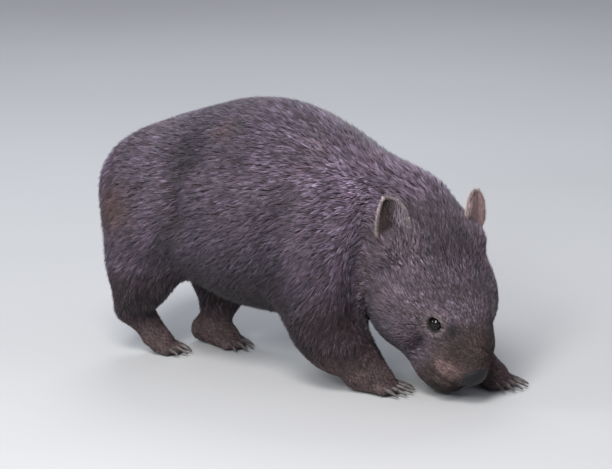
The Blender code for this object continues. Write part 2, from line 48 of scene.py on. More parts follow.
# ------------------------------------------------------------------------------------------------ the form
# Head frame: x runs from the ears to the nose, y to the animal's left, z to the crown; its origin lies between the ears.
HEAD_AT = (138.0, 0.0, 142.0)
HEAD_YAW, HEAD_PITCH, HEAD_ROLL = -27.0, 48.0, 0.0  # degrees; it grazes, turned to its right
MIDLINE = -5.0  # the y of the trunk's mirror plane


def turn(yaw=0.0, pitch=0.0, roll=0.0):
    """Rotation matrix: roll about x, then pitch (nose down) about y, then yaw about z, in degrees."""
    y, p, r = (math.radians(a) for a in (yaw, pitch, roll))
    about_z = np.array([[math.cos(y), -math.sin(y), 0], [math.sin(y), math.cos(y), 0], [0, 0, 1]])
    about_y = np.array([[math.cos(p), 0, math.sin(p)], [0, 1, 0], [-math.sin(p), 0, math.cos(p)]])
    about_x = np.array([[1, 0, 0], [0, math.cos(r), -math.sin(r)], [0, math.sin(r), math.cos(r)]])
    return about_z @ about_y @ about_x


HEAD_TURN = turn(HEAD_YAW, HEAD_PITCH, HEAD_ROLL)


def from_head(point):
    return np.array(HEAD_AT) + HEAD_TURN @ np.array(point, float)


def mass(centre, radii, angles=(0, 0, 0), head=False):
    """An ellipsoid: its centre, its three radii, and its yaw, pitch and roll."""
    about = turn(*angles)
    if head:
        centre, about = from_head(centre), HEAD_TURN @ about
    return {"kind": "mass", "at": np.array(centre, float), "r": np.array(radii, float), "turn": about}


def limb(start, end, r_start, r_end, head=False):
    """A tapered limb with round ends."""
    if head:
        start, end = from_head(start), from_head(end)
    return {"kind": "limb", "a": np.array(start, float), "b": np.array(end, float), "ra": r_start, "rb": r_end}


def pair(centre, radii, angles=(0, 0, 0)):
    """The same mass on both sides of the trunk."""
    x, y, z = centre
    yaw, pitch, roll = angles
    return [mass(centre, radii, angles), mass((x, 2 * MIDLINE - y, z), radii, (-yaw, pitch, -roll))]


def head_pair(centre, radii, angles=(0, 0, 0)):
    """The same mass on both sides of the head."""
    x, y, z = centre
    yaw, pitch, roll = angles
    return [mass(centre, radii, angles, True), mass((x, -y, z), radii, (-yaw, pitch, -roll), True)]


def distance(shape, p):
    """About the signed distance in mm from points p to a shape's surface, negative inside."""
    if shape["kind"] == "mass":
        q = (p - shape["at"]) @ shape["turn"]
        k0 = np.linalg.norm(q / shape["r"], axis=1)
        k1 = np.linalg.norm(q / shape["r"] ** 2, axis=1)
        return k0 * (k0 - 1) / np.maximum(k1, 1e-9)
    a, b, ra, rb = shape["a"], shape["b"], shape["ra"], shape["rb"]
    along = b - a
    size = float(along @ along)
    rr = ra - rb
    a2 = size - rr * rr
    pa = p - a
    y = pa @ along
    z = y - size
    x2 = ((pa * size - y[:, None] * along) ** 2).sum(1)
    y2, z2 = y * y * size, z * z * size
    k = np.sign(rr) * rr * rr * x2
    out = (np.sqrt(x2 * a2 / size) + y * rr) / size - ra
    out = np.where(np.sign(y) * a2 * y2 < k, np.sqrt(x2 + y2) / size - ra, out)
    return np.where(np.sign(z) * a2 * z2 > k, np.sqrt(x2 + z2) / size - rb, out)


def soft_union(a, b, k):
    h = np.clip(0.5 + 0.5 * (b - a) / k, 0, 1)
    return b * (1 - h) + a * h - k * h * (1 - h)


def group(shapes, p, k):
    out = distance(shapes[0], p)
    for shape in shapes[1:]:
        out = soft_union(out, distance(shape, p), k)
    return out


TRUNK = [
    mass((-134, -5, 158), (76, 72, 63)),  # rump
    *pair((-134, -38, 162), (70, 45, 62)),  # hips
    mass((-36, -5, 157), (128, 94, 104)),  # loin and belly
    mass((42.5, -4, 135), (82, 80, 84)),  # chest
]
NECK = [mass((97.5, 18, 150.5), (60, 46.5, 55), (0, 18, 0))]  # bent to the right with the head
SKULL = [
    mass((4, 0, -5), (45, 56, 34), head=True),  # cranium
    mass((58, 0, -6), (64, 34, 28), (0, 6, 0), True),  # brow and bridge of the nose
    *head_pair((38, -35, -36), (47, 29, 41)),  # cheeks
    mass((72, 0, -59), (52, 34, 24), head=True),  # lower jaw
]
SNOUT = [
    mass((95, 0, -14), (31, 30, 21), (0, 8, 0), True),  # bridge
    mass((100, 0, -29), (35, 30, 24.5), (0, 8, 0), True),  # muzzle
    mass((126, 0, -24), (13, 15, 13), (0, 8, 0), True),  # nose
    *head_pair((110, -15, -42), (20, 14, 12), (0, 0, 0)),  # upper lips
    mass((102, 0, -61), (24, 25, 16), head=True),  # chin
]
EYE_AT, EYE_R = (81.2, 26.6, -7.2), 7.0  # head frame, the left one
BROWS = head_pair((74, -26, 2.5), (16, 9, 6.5), (8, 4, 0))
# Hollows and swellings of the head: centre, spreads, depth (plus is inward), each on both sides unless y is 0.
RELIEF = [
    ((86, 34, -5), (10, 9, 9), 3.6),  # eye socket
    ((97, 28, -8), (8, 7, 7), 1.6),  # hollow in front of the eye
    ((100, 22, -24), (12, 9, 9), 1.4),  # side of the muzzle
    ((16, 44, 12), (14, 12, 12), 3.0),  # in front of the ear
    ((44, 0, 22), (22, 10, 12), 1.2),  # middle of the forehead
]


def toes(start, yaw, count, spread, width, length, r, height):
    """Where the toes of one foot run: start and end of each, fanned by spread degrees over width."""
    out = []
    for i in range(count):
        t = 2 * i / (count - 1) - 1
        way = math.radians(yaw + t * spread)
        long = length * (1 - 0.22 * t * t)
        ahead, left = np.array([math.cos(way), math.sin(way)]), np.array([-math.sin(math.radians(yaw)), math.cos(math.radians(yaw))])
        a = np.array(start[:2]) + left * t * width / 2 - ahead * 3.0 * t * t
        b = a + ahead * long
        out.append((np.array([*a, height]), np.array([*b, r + 0.2]), way))
    return out


FEET = {
    # name: palm or sole, where its toes start, heading, count, fan, width, length, radius
    "foot_hind_right": dict(sole=[((-169, -43, 43), (-147, -34, 13), 16, 11), ((-152, -36, 16), (-143, -33, 9.5), 12, 10.5)],
                            toes=dict(start=(-144, -32.5), yaw=8, count=4, spread=10, width=19, length=15, r=5.2, height=8)),
    "foot_hind_left": dict(sole=[((-132, 23, 14), (-108, 20, 12), 14.5, 12.5), ((-112, 20, 12), (-101, 18.5, 9.5), 13, 11)],
                           toes=dict(start=(-102, 18), yaw=-8, count=4, spread=10, width=19, length=15, r=5.2, height=8)),
    "paw_front_right": dict(sole=[((86, -42, 14), (104, -39.5, 12), 15.5, 13.5), ((100, -40, 11), (108, -39, 9.5), 13.5, 12)],
                            toes=dict(start=(107, -39), yaw=8, count=5, spread=16, width=24, length=14, r=5.2, height=8)),
    "paw_front_left": dict(sole=[((170, 37, 14), (184, 35, 12), 14.5, 13), ((180, 36, 11), (189, 34.5, 9.5), 13, 11.5)],
                           toes=dict(start=(188, 34.5), yaw=-8, count=5, spread=16, width=24, length=14, r=5.2, height=8)),
}
LEGS = {
    "leg_hind_right": [
        mass((-153, -47, 113), (46, 34, 68), (0, 12, 0)),  # thigh
        limb((-152, -54, 86), (-173, -44, 50), 32, 19),  # shank
    ],
    "leg_hind_left": [
        mass((-124, 43, 104), (50, 34, 68), (0, 6, 0)),
        limb((-120, 40, 74), (-120, 27, 34), 31, 17),
    ],
    "leg_front_right": [
        mass((49, -59, 96), (43, 31, 68), (0, -8, 0)),  # shoulder and upper arm
        limb((46, -57, 77), (67, -49, 46), 29, 27.5),  # elbow
        limb((67, -49, 46), (90, -43, 24), 27.5, 20),  # forearm
    ],
    "leg_front_left": [
        mass((76, 54, 106), (44, 30, 58), (0, -20, 0)),
        limb((88, 60, 76), (124, 56, 48), 29, 23),
        limb((124, 56, 48), (168, 39, 20), 23, 15),
    ],
}
FOOT_OF = {"leg_hind_right": "foot_hind_right", "leg_hind_left": "foot_hind_left", "leg_front_right": "paw_front_right", "leg_front_left": "paw_front_left"}
SOLES = {name: [limb(*s) for s in f["sole"]] for name, f in FEET.items()}
TOES = {name: toes(**f["toes"]) for name, f in FEET.items()}
TOE_LIMBS = {name: [limb(a, b, FEET[name]["toes"]["r"] + 0.8, FEET[name]["toes"]["r"]) for a, b, _ in TOES[name]] for name in FEET}
TAIL = [limb((-196, -5, 112), (-202, -5, 102), 10, 7)]


def foot_form(name, p):
    return soft_union(group(SOLES[name], p, 6), group(TOE_LIMBS[name], p, 1.6), 4)


def head_form(p):
    out = group(SKULL, p, 18)
    out = soft_union(out, group(SNOUT, p, 9), 12)
    out = soft_union(out, group(BROWS, p, 6), 8)
    q = (p - np.array(HEAD_AT)) @ HEAD_TURN
    for centre, spread, depth in RELIEF:
        for side in (1, -1) if centre[1] else (1,):
            d = (q - np.array(centre) * (1, side, 1)) / np.array(spread)
            out = out + depth * np.exp(-0.5 * (d * d).sum(1))
    return out


def whole_form(p):
    trunk = soft_union(group(TRUNK, p, 36), group(NECK, p, 10), 26)
    out = soft_union(trunk, head_form(p), 13)
    for leg, foot in FOOT_OF.items():
        one = soft_union(group(LEGS[leg], p, 14), foot_form(foot, p), 10)
        out = np.minimum(out, soft_union(trunk, one, 22))
    return out


# ------------------------------------------------------------------------------------------------ helpers
def ramp(lo, hi, x):
    """0 before lo, 1 after hi, smooth between."""
    t = np.clip((x - lo) / (hi - lo), 0, 1)
    return t * t * (3 - 2 * t)


def unit(v):
    return v / np.maximum(np.linalg.norm(v, axis=-1, keepdims=True), 1e-9)


def in_head(p):
    return (p - np.array(HEAD_AT)) @ HEAD_TURN


def lattice(i, seed):
    """A repeatable number from 0 to 1 for each whole-number point."""
    n = (i[..., 0] * 374761393 + i[..., 1] * 668265263 + i[..., 2] * 1442695041 + seed * 1274126177) & 0xFFFFFFFF
    n = ((n ^ (n >> 13)) * 1274126177) & 0xFFFFFFFF
    n = ((n ^ (n >> 16)) * 668265263) & 0xFFFFFFFF
    return ((n ^ (n >> 15)) & 0xFFFFFF) / 0xFFFFFF


def noise(p, size, seed=0):
    """Smooth noise from -1 to 1 with features about so many mm across."""
    x = p / size
    i = np.floor(x).astype(np.int64)
    t = x - i
    t = t * t * (3 - 2 * t)
    out = 0.0
    for k in range(8):
        corner = np.array([k & 1, k >> 1 & 1, k >> 2 & 1])
        w = np.prod(np.where(corner, t, 1 - t), axis=1)
        out = out + w * lattice(i + corner, seed)
    return out * 2 - 1


def clumps(p, size, seed):
    """For each point its nearest clump: where that clump's middle is, and a repeatable number of its own."""
    i = np.floor(p / size).astype(np.int64)
    best, at, own = np.full(len(p), 1e9), np.zeros_like(p), np.zeros(len(p))
    for k in range(27):
        j = i + np.array([k % 3 - 1, k // 3 % 3 - 1, k // 9 - 1])
        c = (j + np.stack([lattice(j, seed + s) for s in (1, 2, 3)], 1)) * size
        d = ((c - p) ** 2).sum(1)
        near = d < best
        best = np.where(near, d, best)
        at = np.where(near[:, None], c, at)
        own = np.where(near, lattice(j, seed + 4), own)
    return at, own


def from_line(p, line):
    """Distance in mm from points to a line through some places."""
    out = np.full(len(p), 1e9)
    for a, b in zip(line, line[1:]):
        a, b = np.array(a, float), np.array(b, float)
        t = np.clip((p - a) @ (b - a) / ((b - a) @ (b - a)), 0, 1)
        out = np.minimum(out, np.linalg.norm(p - a - t[:, None] * (b - a), axis=1))
    return out


# ------------------------------------------------------------------------------------------------ the skin's form
EYES = [(side, np.array(EYE_AT) * (1, side, 1)) for side in (1, -1)]


def eye_axes(side):
    """Out of the head, toward the inner corner and up across the lids, in the head frame."""
    out = unit(np.array([0.36, side * 0.78, 0.5]))
    inner = np.array([0.715, side * -0.582, 0.386])
    inner = unit(inner - out * (inner @ out))
    return out, inner, np.cross(inner, out) * (1 if side < 0 else -1)


# Creases in the working frame: places along it, width and depth in mm.
CREASES = [
    (((-88, -92, 172), (-92, -94, 150), (-101, -88, 125), (-111, -79, 100)), 6.5, 7.0),  # between thigh and flank
    (((-92, 84, 152), (-101, 78, 125), (-100, 69, 102)), 6, 5.0),
    (((103, -46, 188), (100, -60, 158), (98, -67, 131), (96, -68, 103), (94, -66, 84)), 8, 8.0),  # behind the cheek
    (((70, -62, 192), (64, -76, 160), (66, -78, 128)), 9, 2.5),  # a second fold of the neck
    (((30, -86, 186), (14, -95, 135), (18, -90, 92)), 11, 5.5),  # behind the shoulder
    (((34, 78, 176), (15, 85, 130), (18, 80, 96)), 13, 4.0),
    (((-128, -84, 96), (-136, -74, 78), (-138, -60, 64)), 8, 2.0),  # back of the thigh
]
# Before the hip: a hollow that runs down and back.
HOLLOWS = [((x, -5 - 76 * side, z), (15, 12, 15), 3.0) for side in (1, -1) for x, z in ((-76, 224), (-88, 208), (-97, 192))]
EAR_BASE = [mass((6, 38, 2), (7, 10, 6), (0, 32, 0), True), mass((6, -48, 4), (10, 16, 9), (0, 32, 0), True)]  # a collar of skin round each ear's root
# Creases in the head frame, on both sides.
FACE_CREASES = [
    (((97, 29.2, -50), (106, 28.4, -46), (114, 27.5, -42), (121, 25, -38.5), (128, 18, -38), (132, 9, -40), (134, 0, -41)), 1.8, 2.9),  # mouth
    (((141, 0, -29), (138, 0, -35), (134, 0, -41)), 1.1, 1.5),  # from the nose down to the mouth
    (((66, 33, 5), (76, 27, 9), (90, 21, 7)), 2.0, 1.8),  # over the upper lid
    (((72, 40, -15), (84, 36, -19), (97, 30, -16)), 2.0, 1.6),  # under the lower lid
    (((56, 42, -24), (68, 39, -32)), 4.0, 0.8),  # along the cheek
]


def coat_depth(p, q):
    """How far the skin lies below the tips of the coat, in mm."""
    body = 4.8 * ramp(18, 80, p[:, 2]) + 0.9
    face = 0.6 + 0.9 * ramp(122, 96, q[:, 0]) + 2.6 * ramp(86, 0, q[:, 0])
    eye = np.min([np.linalg.norm(q - at, axis=1) for _, at in EYES], axis=0)
    face = 0.5 + (face - 0.5) * ramp(7, 22, eye)
    w = ramp(-45, -5, q[:, 0]) * ramp(14, 2, head_form(p))
    return body * (1 - w) + face * w


def skin_form(p):
    q = in_head(p)
    out = whole_form(p) + coat_depth(p, q)
    for line, width, depth in CREASES:
        d = from_line(p, line) / width
        out = out + depth * np.exp(-0.5 * d * d)
    for centre, spread, depth in HOLLOWS:
        d = (p - np.array(centre)) / np.array(spread)
        out = out + depth * np.exp(-0.5 * (d * d).sum(1))
    out = soft_union(out, group(EAR_BASE, p, 4), 15)
    mirrored = q * (1, 1, 1)
    mirrored[:, 1] = np.abs(q[:, 1])
    for line, width, depth in FACE_CREASES:
        d = from_line(mirrored, line) / width
        out = out + depth * np.exp(-0.5 * d * d)
    for side, at in EYES:
        ahead, inner, up = eye_axes(side)
        r = q - at
        w, u, v = r @ ahead, r @ inner, r @ up
        lid = np.linalg.norm(r, axis=1) - (EYE_R + 0.75)
        near = soft_union(out, lid, 3.2)
        opening = (np.sqrt((u / 7.9) ** 2 + (v / (6.3 - 0.05 * u)) ** 2) - 1) * 6.2
        corner = (np.sqrt(((u - 8.6) / 3.4) ** 2 + ((v + 0.8) / 1.8) ** 2) - 1) * 1.8
        opening = np.minimum(opening, corner)
        near = np.maximum(near, -np.maximum(opening, -(w - 1.5)))
        out = np.where(np.linalg.norm(r, axis=1) < 18, near, out)
    return out


# ------------------------------------------------------------------------------------------------ making
def object_of(mesh, name):
    obj = bpy.data.objects.new(name, mesh)
    bpy.context.scene.collection.objects.link(obj)
    return obj


def primitives(shapes, name):
    """One object holding a sphere for each mass, and two spheres and a cone for each limb."""
    ready = {}

    def solid(which, **sizes):
        key = (which, tuple(sorted(sizes.items())))
        if key not in ready:
            bm = bmesh.new()
            (bmesh.ops.create_uvsphere if which == "sphere" else bmesh.ops.create_cone)(bm, **sizes)
            bm.verts.index_update()
            ready[key] = ([tuple(v.co) for v in bm.verts], [[v.index for v in f.verts] for f in bm.faces])
            bm.free()
        return ready[key]

    points, faces = [], []

    def add(pts, polys, matrix):
        start = len(points)
        points.extend(matrix @ Vector(p) for p in pts)
        faces.extend([i + start for i in poly] for poly in polys)

    ball = solid("sphere", u_segments=32, v_segments=18, radius=1)
    for s in shapes:
        if s["kind"] == "mass":
            add(*ball, Matrix.Translation(Vector(s["at"]) * MM) @ Matrix(s["turn"].tolist()).to_4x4() @ Matrix.Diagonal((*(s["r"] * MM), 1)))
            continue
        a, b = Vector(s["a"]) * MM, Vector(s["b"]) * MM
        for at, r in ((a, s["ra"]), (b, s["rb"])):
            add(*ball, Matrix.Translation(at) @ Matrix.Diagonal((r * MM, r * MM, r * MM, 1)))
        along = b - a
        cone = solid("cone", cap_ends=True, segments=24, radius1=s["ra"], radius2=s["rb"], depth=along.length / MM)
        add(*cone, Matrix.Translation((a + b) / 2) @ along.to_track_quat("Z", "Y").to_matrix().to_4x4() @ Matrix.Diagonal((MM, MM, MM, 1)))
    mesh = bpy.data.meshes.new(name)
    mesh.from_pydata(points, [], faces)
    mesh.update()
    return object_of(mesh, name)


def applied(obj):
    """The object with its modifiers applied."""
    graph = bpy.context.evaluated_depsgraph_get()
    graph.update()
    mesh = bpy.data.meshes.new_from_object(obj.evaluated_get(graph))
    mesh.name = obj.name
    obj.modifiers.clear()
    obj.data = mesh
    return obj


def points_of(mesh):
    co = np.empty(len(mesh.vertices) * 3)
    mesh.vertices.foreach_get("co", co)
    return co.reshape(-1, 3) / MM


def set_points(mesh, p):
    mesh.vertices.foreach_set("co", (p * MM).astype(np.float32).ravel())
    mesh.update()


def slope(form, p, step=0.3):
    return np.stack([form(p + np.eye(3)[i] * step) - form(p - np.eye(3)[i] * step) for i in range(3)], 1) / (2 * step)


def drawn_onto(p, form, rounds, most=4.0):
    """Moves points onto the surface where form is 0."""
    for _ in range(rounds):
        f, g = form(p), slope(form, p)
        p = p - (np.clip(f, -most, most) / np.maximum((g * g).sum(1), 0.15))[:, None] * g
    return p


def smoothed(obj, rounds, factor=0.5):
    even = obj.modifiers.new("even", "SMOOTH")
    even.factor, even.iterations = factor, rounds
    return applied(obj)


def split(obj, which):
    """Halves the edges of the faces whose middle passes a test; returns the touched vertices."""
    bm = bmesh.new()
    bm.from_mesh(obj.data)
    bm.faces.ensure_lookup_table()
    middles = np.array([f.calc_center_median() for f in bm.faces]) / MM
    chosen = np.flatnonzero(which(middles))
    edges = {e for i in chosen for e in bm.faces[i].edges}
    bmesh.ops.subdivide_edges(bm, edges=list(edges), cuts=1, use_grid_fill=True)
    bm.to_mesh(obj.data)
    bm.free()


def hold_floor(p):
    p = p.copy()
    p[:, 2] = np.maximum(p[:, 2], 0.05)
    return p


every = TRUNK + NECK + SKULL + SNOUT + BROWS + TAIL + [s for name in LEGS for s in LEGS[name]] + [s for name in FEET for s in SOLES[name] + TOE_LIMBS[name]]
skin = primitives(every, "skin")
remesh = skin.modifiers.new("remesh", "REMESH")
remesh.mode, remesh.voxel_size = "VOXEL", 2.8 * MM
applied(skin)
smoothed(skin, 4)


def with_tail(p):
    return soft_union(skin_form(p), group(TAIL, p, 4) + 2.5, 8)


set_points(skin.data, drawn_onto(points_of(skin.data), with_tail, 5))
smoothed(skin, 2)
set_points(skin.data, drawn_onto(points_of(skin.data), with_tail, 1))


def on_face(p):
    q = in_head(p)
    return (q[:, 0] > 52) & (head_form(p) < 12) & (head_form(p) > -16)


def at_eye(p):
    q = in_head(p)
    return np.min([np.linalg.norm(q - at, axis=1) for _, at in EYES], axis=0) < 15


def on_mouth(p):
    q = in_head(p)
    q[:, 1] = np.abs(q[:, 1])
    return from_line(q, FACE_CREASES[0][0]) < 6


def refine(test, rounds):
    """Finer faces where the test holds, drawn onto the form again."""
    split(skin, test)
    p = points_of(skin.data)
    near = test(p)
    p[near] = drawn_onto(p[near], with_tail, rounds, 2.0)
    set_points(skin.data, p)


# Ears: cupped, three-cornered shells that grow out of the skin. The inner edge is fuller than the outer one.
EAR_UP, EAR_FACE = (-0.85, 0.105, 0.526), (0.531, 0.308, 0.797)  # head frame, the left one
EAR_AT = {1: (2.0, 44.0, 8.0), -1: (2.0, 49.0, 9.0)}  # the left and the right root; each ear is held in its own way
EAR_THICK = 1.7
# Length, half widths toward the outer and the inner edge, how full each edge is toward the tip, and the cup's depth.
EAR_SHAPE = {1: dict(long=38.5, outer=13.5, inner=15.5, full=(3.4, 0.5, 3.8, 0.5), cup=3.2), -1: dict(long=41.5, outer=15.0, inner=19.0, full=(1.9, 0.72, 3.8, 0.58), cup=8.0)}


def ear_axes():
    up = unit(np.array(EAR_UP))
    face = np.array(EAR_FACE) - up * (np.array(EAR_FACE) @ up)
    face = unit(face)
    return up, face, np.cross(face, up)


def ear_half(h, v, side):
    """How wide the ear is from its middle toward the edge that v points to."""
    shape = EAR_SHAPE[side]
    a, b, c, d = shape["full"]
    return np.where(v > 0, shape["inner"] * (1 - h**c) ** d, shape["outer"] * (1 - h**a) ** b)


def ear_point(u, v, side):
    """A point of the ear's middle surface, in mm of the head frame: u runs from root to tip, v from outer to inner edge."""
    up, face, inward = ear_axes()
    h = min(max(u, 0.0), 1.0)
    root = 1.0 - 0.35 * max(0.0, 0.3 - u) / 0.3
    across = float(ear_half(h, v, side)) * v * root
    cup = EAR_SHAPE[side]["cup"] * (v * v - 0.6) * (1 - 0.45 * h) - 3.0 * (1 - h) ** 2
    fold = 0.7 * math.sin(9 * v + 2.0) * (1 - v * v) * h  # faint ribs
    at = np.array(EAR_AT[side]) + up * EAR_SHAPE[side]["long"] * u + inward * across + face * (cup + fold)
    return at * (1, side, 1)


def ear_shell(side, name):
    bm = bmesh.new()
    bmesh.ops.create_grid(bm, x_segments=30, y_segments=32, size=1)
    for vert in bm.verts:
        v, t = vert.co.x, (vert.co.y + 1) / 2
        v = math.sin(v * math.pi / 2) * 0.35 + v * 0.65
        u = min(-0.3 + 1.3 * (1 - (1 - t) ** 1.5), 0.998)
        vert.co = Vector(from_head(ear_point(u, v, side))) * MM
    mesh = bpy.data.meshes.new(name)
    bm.to_mesh(mesh)
    bm.free()
    obj = object_of(mesh, name)
    shell = obj.modifiers.new("shell", "SOLIDIFY")
    shell.thickness, shell.offset, shell.use_even_offset = EAR_THICK * MM, 0.0, False
    applied(obj)
    bm = bmesh.new()
    bm.from_mesh(obj.data)
    bmesh.ops.remove_doubles(bm, verts=bm.verts, dist=2e-5)
    bmesh.ops.dissolve_degenerate(bm, dist=1e-5, edges=bm.edges)
    bmesh.ops.recalc_face_normals(bm, faces=bm.faces)
    bm.to_mesh(obj.data)
    bm.free()
    smoothed(obj, 2, 0.3)
    return obj


def tone(name, roughness, attribute, specular=0.4, sheen=0.0):
    """A material whose colour comes from the mesh's own colours."""
    m = bpy.data.materials.new(name)
    m.use_nodes = True
    nt = m.node_tree
    shader = nt.nodes["Principled BSDF"]
    read = nt.nodes.new("ShaderNodeAttribute")
    read.attribute_name = attribute
    nt.links.new(read.outputs["Color"], shader.inputs["Base Color"])
    shader.inputs["Roughness"].default_value = roughness
    shader.inputs["Specular IOR Level"].default_value = specular
    shader.inputs["Sheen Weight"].default_value = sheen
    return m


def bumped(m, scale, strength, distance, kind="NOISE"):
    """Adds a fine procedural bump in object coordinates."""
    nt = m.node_tree
    shader = nt.nodes["Principled BSDF"]
    where = nt.nodes.new("ShaderNodeTexCoord")
    if kind == "NOISE":
        grain = nt.nodes.new("ShaderNodeTexNoise")
        grain.inputs["Detail"].default_value = 4
        out = grain.outputs["Fac"]
    else:
        grain = nt.nodes.new("ShaderNodeTexVoronoi")
        out = grain.outputs["Distance"]
    grain.inputs["Scale"].default_value = scale
    bump = nt.nodes.new("ShaderNodeBump")
    bump.inputs["Strength"].default_value = strength
    bump.inputs["Distance"].default_value = distance
    nt.links.new(where.outputs["Object"], grain.inputs["Vector"])
    nt.links.new(out, bump.inputs["Height"])
    nt.links.new(bump.outputs["Normal"], shader.inputs["Normal"])
    return m


skin_tone = bumped(tone("skin_tone", 0.7, "pelt", 0.3), 900, 0.5, 0.0006)
ear_tone = bumped(tone("ear_tone", 0.65, "pelt", 0.3), 1400, 0.4, 0.0004)
skin.data.materials.append(skin_tone)
for side, word in ((1, "left"), (-1, "right")):
    shell = ear_shell(side, "ear_shell_" + word)
    shell.data.materials.append(ear_tone)
    before = skin.data.copy()
    for careful in (False, True):
        join = skin.modifiers.new("join", "BOOLEAN")
        join.operation, join.solver, join.object, join.use_self = "UNION", "EXACT", shell, careful
        join.material_mode = "TRANSFER"
        applied(skin)
        if len(skin.data.polygons) > len(before.polygons):
            break
        skin.data = before.copy()
    bpy.data.objects.remove(shell)
refine(on_face, 2)
refine(lambda p: at_eye(p) | on_mouth(p), 3)
set_points(skin.data, hold_floor(points_of(skin.data)))


def loops_uv(mesh):
    """The skin's own unwrap."""
    bpy.ops.object.select_all(action="DESELECT")
    skin.select_set(True)
    bpy.context.view_layer.objects.active = skin
    layer = mesh.uv_layers.new(name="OFBake")
    mesh.uv_layers.active = layer
    bpy.ops.object.mode_set(mode="EDIT")
    bpy.ops.mesh.select_all(action="SELECT")
    bpy.ops.uv.smart_project(angle_limit=1.15, island_margin=0.004, scale_to_bounds=True)
    bpy.ops.object.mode_set(mode="OBJECT")
    uv = np.empty(len(mesh.loops) * 2, np.float32)
    mesh.uv_layers["OFBake"].uv.foreach_get("vector", uv)
    return uv.reshape(-1, 2)


skin_uv = loops_uv(skin.data)

# ------------------------------------------------------------------------------------------------ the coat
# Each place of the skin: how many tufts a square mm, how long and wide they are, how far they stand up, and the colours.
mesh = skin.data
mesh.calc_loop_triangles()
tri_loops = np.empty(len(mesh.loop_triangles) * 3, np.int32)
mesh.loop_triangles.foreach_get("loops", tri_loops)
tri_loops = tri_loops.reshape(-1, 3)
tri_slot = np.empty(len(mesh.loop_triangles), np.int32)
mesh.loop_triangles.foreach_get("material_index", tri_slot)
loop_vertex = np.empty(len(mesh.loops), np.int32)
mesh.loops.foreach_get("vertex_index", loop_vertex)
skin_points = points_of(mesh)
vertex_normal = np.empty(len(mesh.vertices) * 3)
mesh.vertices.foreach_get("normal", vertex_normal)
vertex_normal = vertex_normal.reshape(-1, 3)
corner = skin_points[loop_vertex[tri_loops]]
face_cross = np.cross(corner[:, 1] - corner[:, 0], corner[:, 2] - corner[:, 0])
tri_area = np.linalg.norm(face_cross, axis=1) / 2
tri_middle = corner.mean(1)


def eye_distance(q):
    return np.min([np.linalg.norm(q - at, axis=1) for _, at in EYES], axis=0)


def nose_distance(q):
    return (np.linalg.norm((q - np.array((137.0, 0.0, -21.0))) / (11.0, 13.5, 9.5), axis=1) - 1) * 10


def ear_place(q):
    """On an ear: how far up it the point is (0 root, 1 tip), across it (-1 outer to 1 inner), and in front of its middle surface in mm."""
    up, face, inward = ear_axes()
    side = np.where(q[:, 1] > 0, 1, -1)
    m = q * np.stack([np.ones(len(q)), side, np.ones(len(q))], 1)
    at = m - np.where((side > 0)[:, None], np.array(EAR_AT[1]), np.array(EAR_AT[-1]))
    u = at @ up / np.where(side > 0, EAR_SHAPE[1]["long"], EAR_SHAPE[-1]["long"])
    h = np.clip(u, 0, 0.995)
    across = at @ inward
    half = np.where(side > 0, ear_half(h, across, 1), ear_half(h, across, -1))
    v = np.clip(across / np.maximum(half, 0.5), -1.2, 1.2)
    cup = np.where(side > 0, EAR_SHAPE[1]["cup"], EAR_SHAPE[-1]["cup"]) * (v * v - 0.6) * (1 - 0.45 * h) - 3.0 * (1 - h) ** 2
    return u, v, at @ face - cup


